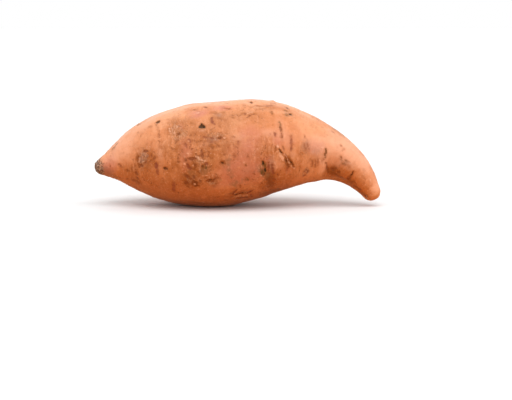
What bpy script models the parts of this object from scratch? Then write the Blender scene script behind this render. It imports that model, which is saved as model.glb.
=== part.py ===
# A sweet potato lying on its belly: a thick root that tapers to a corky stub at the stem end and
# bends down into a slim tail at the other. It is one solid, in metres, +Z up, +X towards the tail.
# It rests on a small flat spot under the belly, and the origin is the bottom centre of its box.

import math

import bmesh
import bpy
import numpy as np
from mathutils import Vector

# Driving dimensions
LENGTH = 0.200  # stem end to tail, along X
THICKNESS = 0.074  # belly, top to bottom
PRESSED = 0.0015  # height of belly that the flat spot takes away

# Mesh fineness
RINGS = 66
SIDES = 40
DOME_RINGS = 5  # on each rounded end
RIM_MERGE = 0.0006  # closest two points on the flat spot's rim

# Stations from the stem end to the tail: how far along, the middle's height and its sideways drift,
# as shares of LENGTH, then half the thickness as a share of THICKNESS, and the width over the
# thickness there.
STATIONS = (
    (0.012, 0.143, -0.022, 0.060, 1.00),
    (0.028, 0.146, -0.015, 0.082, 1.00),
    (0.064, 0.153, -0.004, 0.154, 1.00),
    (0.125, 0.164, 0.003, 0.272, 1.02),
    (0.215, 0.175, 0.004, 0.391, 1.05),
    (0.320, 0.182, 0.000, 0.474, 1.06),
    (0.425, 0.186, -0.003, 0.507, 1.04),
    (0.520, 0.198, -0.002, 0.484, 1.02),
    (0.610, 0.208, 0.002, 0.446, 1.00),
    (0.695, 0.206, 0.004, 0.386, 0.98),
    (0.775, 0.194, 0.003, 0.301, 0.97),
    (0.845, 0.173, -0.003, 0.226, 0.97),
    (0.906, 0.134, -0.012, 0.171, 0.98),
    (0.947, 0.088, -0.021, 0.121, 1.00),
    (0.964, 0.059, -0.026, 0.097, 1.00),
)
STEM_DOME = 0.0018  # how far the cut stub bulges past the first station
TAIL_DOME = 0.0064  # how far the rounded tip reaches past the last
DOME_POWER = 2.1  # 2 is an ellipse, and more is blunter

# Faint lobes round the section: number, depth as a share of the radius, angle of a crest, and turn
# of the crests from end to end, in degrees.
LOBES = ((2, 0.012, 62, 40), (3, 0.014, 25, -70), (5, 0.008, 10, 55))

# Broad swells (+) and hollows (-): how far along the line, angle round the section from the top
# with +90 towards -Y, reach along and round, and height, in metres apart from the share and degrees.
SWELLS = (
    (0.30, 20, 0.012, 0.016, -0.0012),
    (0.24, -30, 0.020, 0.020, 0.0011),
    (0.36, 118, 0.022, 0.018, 0.0010),
    (0.47, 60, 0.018, 0.020, -0.0010),
    (0.56, 12, 0.020, 0.022, 0.0009),
    (0.63, 95, 0.016, 0.014, 0.0012),
    (0.70, 75, 0.014, 0.020, -0.0010),
    (0.745, 100, 0.012, 0.014, -0.0012),
    (0.82, 60, 0.014, 0.012, 0.0008),
    (0.88, 150, 0.010, 0.010, -0.0006),
    (0.16, 80, 0.014, 0.014, -0.0008),
    (0.22, 200, 0.022, 0.018, 0.0014),
    (0.34, -75, 0.016, 0.020, -0.0015),
    (0.45, -110, 0.024, 0.018, 0.0015),
    (0.53, -60, 0.020, 0.018, 0.0012),
    (0.61, -95, 0.018, 0.024, -0.0014),
    (0.68, -50, 0.018, 0.018, 0.0010),
    (0.78, -85, 0.014, 0.014, -0.0010),
)

SKIN_COLOUR = (0.60, 0.25, 0.11, 1.0)
SKIN_ROUGHNESS = 0.55


def clear_scene():
    for obj in list(bpy.data.objects):
        bpy.data.objects.remove(obj, do_unlink=True)


def smooth_through(knots, values, at):
    """Values at places between the knots, on a cubic curve that passes through every knot."""
    slopes = np.gradient(values, knots, axis=0)
    i = np.clip(np.searchsorted(knots, at) - 1, 0, len(knots) - 2)
    step = knots[i + 1] - knots[i]
    t = ((at - knots[i]) / step)[:, None]
    return (
        values[i] * (1 + 2 * t) * (1 - t) ** 2
        + values[i + 1] * t**2 * (3 - 2 * t)
        + slopes[i] * step[:, None] * t * (1 - t) ** 2
        - slopes[i + 1] * step[:, None] * t**2 * (1 - t)
    )


def root_line():
    """One row for each ring between the end domes: centre, direction, radius, width and share along."""
    table = np.array(STATIONS)
    middle = np.column_stack([table[:, 0], table[:, 2], table[:, 1]]) * LENGTH
    radius = table[:, 3:4] * THICKNESS
    run = np.concatenate([[0], np.cumsum(np.linalg.norm(np.diff(middle, axis=0), axis=1))])
    at = np.linspace(0, run[-1], RINGS)
    line = smooth_through(run, np.hstack([middle, radius, table[:, 4:]]), at)
    directions = np.gradient(line[:, :3], at, axis=0)
    directions /= np.linalg.norm(directions, axis=1)[:, None]
    return list(zip(line[:, :3], directions, line[:, 3], line[:, 4], at / run[-1], strict=True))


def dome_rows(end_row, reach):
    """Rows that close an end in a rounded dome. A negative reach points back past the stem end."""
    centre, direction, radius, width, share = end_row
    rows = []
    for k in range(1, DOME_RINGS + 1):
        lift = math.sin(math.pi / 2 * k / (DOME_RINGS + 1))
        narrow = (1 - lift**DOME_POWER) ** (1 / DOME_POWER)
        rows.append((centre + direction * reach * lift, direction, radius * narrow, width, share))
    return rows


def lobe_factor(angles, share):
    """How the lobes change the radius round one section. They fade out towards both ends."""
    fade = math.sqrt(max(math.sin(math.pi * share), 0.0))
    factor = np.ones_like(angles)
    for count, depth, crest, turn in LOBES:
        shift = math.radians(crest + turn * share)
        factor += depth * fade * np.cos(count * (angles - shift))
    return factor


def swell_height(angles, share, radius, line_length):
    """Height in metres that the swells and hollows add round one section."""
    height = np.zeros_like(angles)
    for along, crest, reach_along, reach_round, top in SWELLS:
        off_along = (share - along) * line_length / reach_along
        turn = (angles - math.radians(crest) + math.pi) % (2 * math.pi) - math.pi
        off_round = turn * radius / reach_round
        height += top * np.exp(-(off_along**2) - off_round**2)
    return height


def section(centre, direction, radius, width, share, line_length):
    """Points of one ring. Angle 0 is the top and 90 degrees faces -Y."""
    angles = np.arange(SIDES) * 2 * math.pi / SIDES
    near = Vector((0, -1, 0))
    up = near.cross(Vector(direction)).normalized()
    side = Vector(direction).cross(up).normalized()
    reach = radius * lobe_factor(angles, share) + swell_height(angles, share, radius, line_length)
    return [
        Vector(centre) + up * (r * math.cos(a)) + side * (r * width * math.sin(a))
        for a, r in zip(angles, reach, strict=True)
    ]


def root_mesh():
    """The whole root as a closed mesh of rings, with a point at each end."""
    rows = root_line()
    centres = np.array([row[0] for row in rows])
    line_length = float(np.linalg.norm(np.diff(centres, axis=0), axis=1).sum())
    stem_tip = centres[0] - rows[0][1] * STEM_DOME
    tail_tip = centres[-1] + rows[-1][1] * TAIL_DOME
    all_rows = dome_rows(rows[0], -STEM_DOME)[::-1] + rows + dome_rows(rows[-1], TAIL_DOME)
    bm = bmesh.new()
    rings = [[bm.verts.new(p) for p in section(*row, line_length)] for row in all_rows]
    for near_ring, far_ring in zip(rings, rings[1:], strict=False):
        for k in range(SIDES):
            j = (k + 1) % SIDES
            bm.faces.new((near_ring[k], near_ring[j], far_ring[j], far_ring[k]))
    for ring, tip in ((rings[0], stem_tip), (rings[-1], tail_tip)):
        point = bm.verts.new(tip)
        for k in range(SIDES):
            bm.faces.new((ring[k], ring[(k + 1) % SIDES], point))
    bmesh.ops.recalc_face_normals(bm, faces=bm.faces)
    return bm


def press_flat(bm):
    """Takes the lowest slice off the belly and closes it with one flat face."""
    lowest = min(v.co.z for v in bm.verts)
    cut = bmesh.ops.bisect_plane(
        bm,
        geom=bm.verts[:] + bm.edges[:] + bm.faces[:],
        plane_co=(0, 0, lowest + PRESSED),
        plane_no=(0, 0, -1),
        clear_outer=True,
    )
    rim = [e for e in cut["geom_cut"] if isinstance(e, bmesh.types.BMVert)]
    bmesh.ops.remove_doubles(bm, verts=rim, dist=RIM_MERGE)
    open_edges = [e for e in bm.edges if e.is_boundary]
    bmesh.ops.contextual_create(bm, geom=open_edges)
    for edge in open_edges:
        edge.smooth = False
    bmesh.ops.recalc_face_normals(bm, faces=bm.faces)


def stand_on_origin(bm):
    """Moves the root so that the bottom centre of its box is the origin."""
    points = np.array([v.co for v in bm.verts])
    low, high = points.min(axis=0), points.max(axis=0)
    bottom_centre = Vector(((low[0] + high[0]) / 2, (low[1] + high[1]) / 2, low[2]))
    bmesh.ops.translate(bm, verts=bm.verts, vec=-bottom_centre)


def skin_material():
    material = bpy.data.materials.new("skin")
    material.use_nodes = True
    shader = material.node_tree.nodes["Principled BSDF"]
    shader.inputs["Base Color"].default_value = SKIN_COLOUR
    shader.inputs["Roughness"].default_value = SKIN_ROUGHNESS
    shader.inputs["Metallic"].default_value = 0.0
    return material


def make_sweet_potato():
    bm = root_mesh()
    press_flat(bm)
    stand_on_origin(bm)
    mesh = bpy.data.meshes.new("sweet_potato")
    bm.to_mesh(mesh)
    bm.free()
    mesh.shade_smooth()
    mesh.materials.append(skin_material())
    obj = bpy.data.objects.new("sweet_potato", mesh)
    bpy.context.scene.collection.objects.link(obj)
    return obj


clear_scene()
make_sweet_potato()
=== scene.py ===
import math
import random
from collections import Counter

import bpy
import numpy as np
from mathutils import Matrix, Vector, noise
from mathutils.bvhtree import BVHTree


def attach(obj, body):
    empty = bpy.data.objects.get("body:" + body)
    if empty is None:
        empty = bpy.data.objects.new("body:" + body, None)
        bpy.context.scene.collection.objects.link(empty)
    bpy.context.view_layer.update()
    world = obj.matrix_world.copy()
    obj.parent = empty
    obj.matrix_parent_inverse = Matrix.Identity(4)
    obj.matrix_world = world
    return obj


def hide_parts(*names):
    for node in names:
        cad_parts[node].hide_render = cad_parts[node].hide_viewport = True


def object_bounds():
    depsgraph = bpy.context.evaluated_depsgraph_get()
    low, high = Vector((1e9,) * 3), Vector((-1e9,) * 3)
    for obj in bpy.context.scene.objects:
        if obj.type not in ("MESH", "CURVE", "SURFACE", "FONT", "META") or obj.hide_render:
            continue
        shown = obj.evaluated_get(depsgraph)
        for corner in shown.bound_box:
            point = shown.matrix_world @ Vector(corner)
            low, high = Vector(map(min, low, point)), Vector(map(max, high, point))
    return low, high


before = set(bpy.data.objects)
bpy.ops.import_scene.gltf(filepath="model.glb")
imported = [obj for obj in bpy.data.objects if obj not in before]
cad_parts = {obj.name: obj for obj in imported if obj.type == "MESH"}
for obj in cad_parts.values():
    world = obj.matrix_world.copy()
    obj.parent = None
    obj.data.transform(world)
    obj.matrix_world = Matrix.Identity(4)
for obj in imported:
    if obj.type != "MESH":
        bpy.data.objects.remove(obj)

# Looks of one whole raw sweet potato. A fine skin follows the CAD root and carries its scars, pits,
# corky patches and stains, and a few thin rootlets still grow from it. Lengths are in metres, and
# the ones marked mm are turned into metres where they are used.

mm = 0.001
cadLow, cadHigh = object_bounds()
cadMiddle = (cadLow + cadHigh) / 2
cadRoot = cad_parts["sweet_potato"]


# camera and picture

camera = {
    "elevation": 8.0,  # degrees above the level
    "distance": 0.998,
    "lens": 100.0,  # mm
    "sensor": 36.0,  # mm
    "aim": (13.2, -4.6, -33.0),  # mm from the middle of the root's box
    "picture": (512, 400),
}
tilt = math.radians(camera["elevation"])
forward = Vector((0, math.cos(tilt), -math.sin(tilt)))
upward = Vector((0, math.sin(tilt), math.cos(tilt)))
eye = cadMiddle + Vector(camera["aim"]) * mm - forward * camera["distance"]
focal = camera["lens"] / camera["sensor"] * camera["picture"][0]


def addObject(name, data):
    obj = bpy.data.objects.new(name, data)
    bpy.context.scene.collection.objects.link(obj)
    return obj


def makeCamera():
    data = bpy.data.cameras.new("photoView")
    data.lens = camera["lens"]
    data.sensor_width = camera["sensor"]
    obj = addObject("photoView", data)
    obj.location = eye
    obj.rotation_euler = (math.pi / 2 - tilt, 0, 0)
    bpy.context.scene.camera = obj


# shader helpers

class Wire:
    # a shader socket that can be used in sums like a number
    def __init__(self, graph, socket):
        self.graph = graph
        self.socket = socket

    def maths(self, operation, first, second):
        return self.graph.add("ShaderNodeMath", {"operation": operation}, {0: first, 1: second})

    def __add__(self, other):
        return self.maths("ADD", self, other)

    def __radd__(self, other):
        return self.maths("ADD", other, self)

    def __sub__(self, other):
        return self.maths("SUBTRACT", self, other)

    def __rsub__(self, other):
        return self.maths("SUBTRACT", other, self)

    def __mul__(self, other):
        return self.maths("MULTIPLY", self, other)

    def __rmul__(self, other):
        return self.maths("MULTIPLY", other, self)


class Graph:
    # builds a node tree; add() makes every node
    def __init__(self, tree):
        self.tree = tree
        self.tree.nodes.clear()

    def add(self, kind, settings=None, sockets=None, out=0):
        node = self.tree.nodes.new(kind)
        for name, value in (settings or {}).items():
            setattr(node, name, value)
        for name, value in (sockets or {}).items():
            if isinstance(value, Wire):
                self.tree.links.new(value.socket, node.inputs[name])
            else:
                node.inputs[name].default_value = value
        return Wire(self, node.outputs[out]) if node.outputs else None

    def value(self, name):
        return self.add("ShaderNodeAttribute", {"attribute_name": name}, out="Fac")

    def step(self, value, low, high):
        # 0 below low, 1 above high and smooth between; low may be the larger one
        sockets = {"Value": value, "From Min": low, "From Max": high}
        return self.add("ShaderNodeMapRange", {"interpolation_type": "SMOOTHSTEP"}, sockets)

    def mix(self, mask, first, second):
        sockets = {0: mask, 6: first, 7: second}
        return self.add("ShaderNodeMix", {"data_type": "RGBA"}, sockets, out=2)

    def stretch(self, vector, scale):
        return self.add("ShaderNodeVectorMath", {"operation": "MULTIPLY"}, {0: vector, 1: scale})

    def noise(self, vector, size, detail=2.0, rough=0.5, bend=0.0):
        sockets = {"Vector": vector, "Scale": 1 / size, "Detail": detail}
        sockets.update({"Roughness": rough, "Distortion": bend})
        return self.add("ShaderNodeTexNoise", {}, sockets)

    def cells(self, vector, size, feature="F1", out="Distance"):
        sockets = {"Vector": vector, "Scale": 1 / size}
        return self.add("ShaderNodeTexVoronoi", {"feature": feature}, sockets, out=out)

    def surface(self, sockets):
        # the principled shader and the way out of the material
        shader = self.add("ShaderNodeBsdfPrincipled", {}, sockets)
        self.add("ShaderNodeOutputMaterial", {}, {"Surface": shader})


def newMaterial(name):
    material = bpy.data.materials.new(name)
    material.use_nodes = True
    return material, Graph(material.node_tree)


def rgba(colour):
    return (*colour, 1.0)


# the root's middle line

spine = {
    "stations": 34,
    "passes": 14,  # times that the line is moved to the middle
    "pull": 0.7,  # share of the way that it moves each time
    "rays": 24,
    "stationBlur": 1.2,  # stations
    "fine": 400,  # points on the finished line
    "blur": 14.0,  # of these points
    "stemInset": 5.5,  # mm from the stub's face to where its rows start to fan out
    "tailInset": 7.5,  # mm from the tail's tip
    "slice": 6.0,  # mm, half the thickness of the slices that give the first guess
    "floorClear": 1.0,  # mm, an end is higher than this
}


def cadEnds():
    # the CAD root closes at each end in one point where the most faces meet
    meeting = Counter()
    for polygon in cadRoot.data.polygons:
        for index in polygon.vertices:
            point = cadRoot.data.vertices[index].co
            if point.z > spine["floorClear"] * mm:
                meeting[tuple(round(c, 5) for c in point)] += 1
    ends = [np.array(place) for place, count in meeting.most_common(2)]
    return sorted(ends, key=lambda place: place[0])


def insetEnd(points, end, inset):
    # a point inside the root, straight behind one of its ends
    near = points[np.linalg.norm(points - end, axis=1) < inset]
    inward = near.mean(axis=0) - end
    return end + inward / np.linalg.norm(inward) * inset


def runAlong(line):
    # how far along a line each of its points lies
    return np.concatenate([[0], np.cumsum(np.linalg.norm(np.diff(line, axis=0), axis=1))])


def respaced(line, count):
    run = runAlong(line)
    at = np.linspace(0, run[-1], count)
    return np.column_stack([np.interp(at, run, line[:, axis]) for axis in range(3)])


def unit(vectors):
    return vectors / np.linalg.norm(vectors, axis=-1, keepdims=True)


def crossAxes(line):
    # direction, up and side along a line; side points to -Y, towards the viewer
    direction = unit(np.gradient(line, axis=0))
    up = unit(np.cross([0, -1, 0], direction))
    return direction, up, np.cross(direction, up)


def reachTo(tree, start, way):
    hit = tree.ray_cast(Vector(start), Vector(way))
    return hit[3] if hit[0] is not None else 0.0


def blurred(values, spread, axis, closed):
    # a Gaussian blur along one axis of a grid, which may be closed in a ring
    reach = int(math.ceil(3 * spread))
    weights = np.exp(-0.5 * (np.arange(-reach, reach + 1) / spread) ** 2)
    pads = [(0, 0)] * values.ndim
    pads[axis] = (reach, reach)
    padded = np.pad(values, pads, mode="wrap" if closed else "edge")
    count = values.shape[axis]
    total = sum(
        weight * np.take(padded, np.arange(k, k + count), axis=axis)
        for k, weight in enumerate(weights)
    )
    return total / weights.sum()


def smoothLine(line, spread):
    # blurs a line along itself and keeps its ends where they are
    reach = int(math.ceil(3 * spread))
    before = 2 * line[0] - line[reach:0:-1]
    after = 2 * line[-1] - line[-2 : -reach - 2 : -1]
    return blurred(np.vstack([before, line, after]), spread, 0, False)[reach:-reach]


def rootSpine(tree):
    points = np.array([vertex.co for vertex in cadRoot.data.vertices])
    stemEnd, tailEnd = cadEnds()
    stem = insetEnd(points, stemEnd, spine["stemInset"] * mm)
    tail = insetEnd(points, tailEnd, spine["tailInset"] * mm)
    line = []
    for x in np.linspace(stem[0], tail[0], spine["stations"]):
        part = points[abs(points[:, 0] - x) < spine["slice"] * mm]
        line.append((part.min(axis=0) + part.max(axis=0)) / 2)
    line = np.array(line)
    angles = np.arange(spine["rays"]) * 2 * math.pi / spine["rays"]
    for _ in range(spine["passes"]):
        line[0], line[-1] = stem, tail
        line = smoothLine(respaced(line, spine["stations"]), spine["stationBlur"])
        _, up, side = crossAxes(line)
        for i in range(1, len(line) - 1):
            ways = np.outer(np.cos(angles), up[i]) + np.outer(np.sin(angles), side[i])
            reach = np.array([reachTo(tree, line[i], way) for way in ways])
            line[i] += spine["pull"] * (ways * reach[:, None]).mean(axis=0)
    return smoothLine(respaced(line, spine["fine"]), spine["blur"])


# the skin as a grid of points: rows along the root, columns round it from the underside's middle

skin = {
    "rows": 340,
    "columns": 288,
    "stemCap": 16,  # rows that fan out over the stub's face
    "tailCap": 18,  # rows that fan out over the tail's tip
    "blurAlong": 2.3,  # rows, takes the CAD facets away
    "blurRound": 4.0,  # columns
    "flatMargin": 0.01,  # empty share at each end when it is laid out flat
    "flatWidth": 0.97,
}


def gridNormals(points, ways):
    along = np.gradient(points, axis=0)
    wide = np.concatenate([points[:, -1:], points, points[:, :1]], axis=1)
    normal = unit(np.cross(along, (wide[:, 2:] - wide[:, :-2]) / 2))
    return normal * np.sign((normal * ways).sum(axis=2).mean())


def capLean(count):
    # how far each row of a cap leans towards the root's end, from the last one to the first
    return math.pi / 2 * np.arange(count, 0, -1) / (count + 1)


def skinGrid(tree):
    bodyRows = skin["rows"] - skin["stemCap"] - skin["tailCap"]
    body = respaced(rootSpine(tree), bodyRows)
    direction, up, side = crossAxes(body)
    turn = np.arange(skin["columns"]) / skin["columns"] * 2 * math.pi - math.pi
    stemLean, tailLean = capLean(skin["stemCap"]), capLean(skin["tailCap"])[::-1]
    lean = np.concatenate([-stemLean, np.zeros(bodyRows), tailLean])[:, None, None]
    owner = np.clip(np.arange(skin["rows"]) - skin["stemCap"], 0, bodyRows - 1)  # row of the body
    stemReach, tailReach = spine["stemInset"] * mm, spine["tailInset"] * mm
    along = owner * np.linalg.norm(body[1] - body[0]) + stemReach * math.pi / 2
    along[: len(stemLean)] -= stemLean * stemReach
    along[-len(tailLean) :] += tailLean * tailReach
    flat = up[owner, None] * np.cos(turn)[:, None] + side[owner, None] * np.sin(turn)[:, None]
    ways = flat * np.cos(lean) + direction[owner, None] * np.sin(lean)
    reach = [[reachTo(tree, start, way) for way in row] for start, row in zip(body[owner], ways)]
    reach = blurred(np.array(reach), skin["blurRound"], 1, True)
    reach = blurred(reach, skin["blurAlong"], 0, False)
    points = body[owner, None] + ways * reach[:, :, None]
    radius = reach * np.cos(lean)[:, :, 0]
    straight = [along[:, None] + radius * 0, radius * np.sin(turn), radius * np.cos(turn)]
    return {
        "points": points,
        "normals": gridNormals(points, ways),
        "straight": np.stack(straight, axis=2) / mm,  # the root unbent, in mm from the stub
        "direction": direction[owner],
        "along": along / mm,
        "radius": radius.mean(axis=1) / mm,
        "length": (along[-1] + tailLean[0] * tailReach) / mm,
    }


# marks on the skin. The ones on the near side are placed by the photograph's pixels: kind, half
# width in mm, strength, hue (0 purple, 0.5 brown, 1 olive), then the points that the mark runs along.

markKinds = {
    # channel, sink and lip in mm, how far the lip reaches in mm
    "pit": ("pit", 0.60, 0.14, 0.9),
    "crack": ("pit", 0.85, 0.34, 0.9),
    "dash": ("dash", 0.20, 0.08, 0.7),
    "cork": ("cork", -0.24, 0.00, 1.0),
    "flake": ("flake", -0.34, 0.00, 1.0),
}

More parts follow.
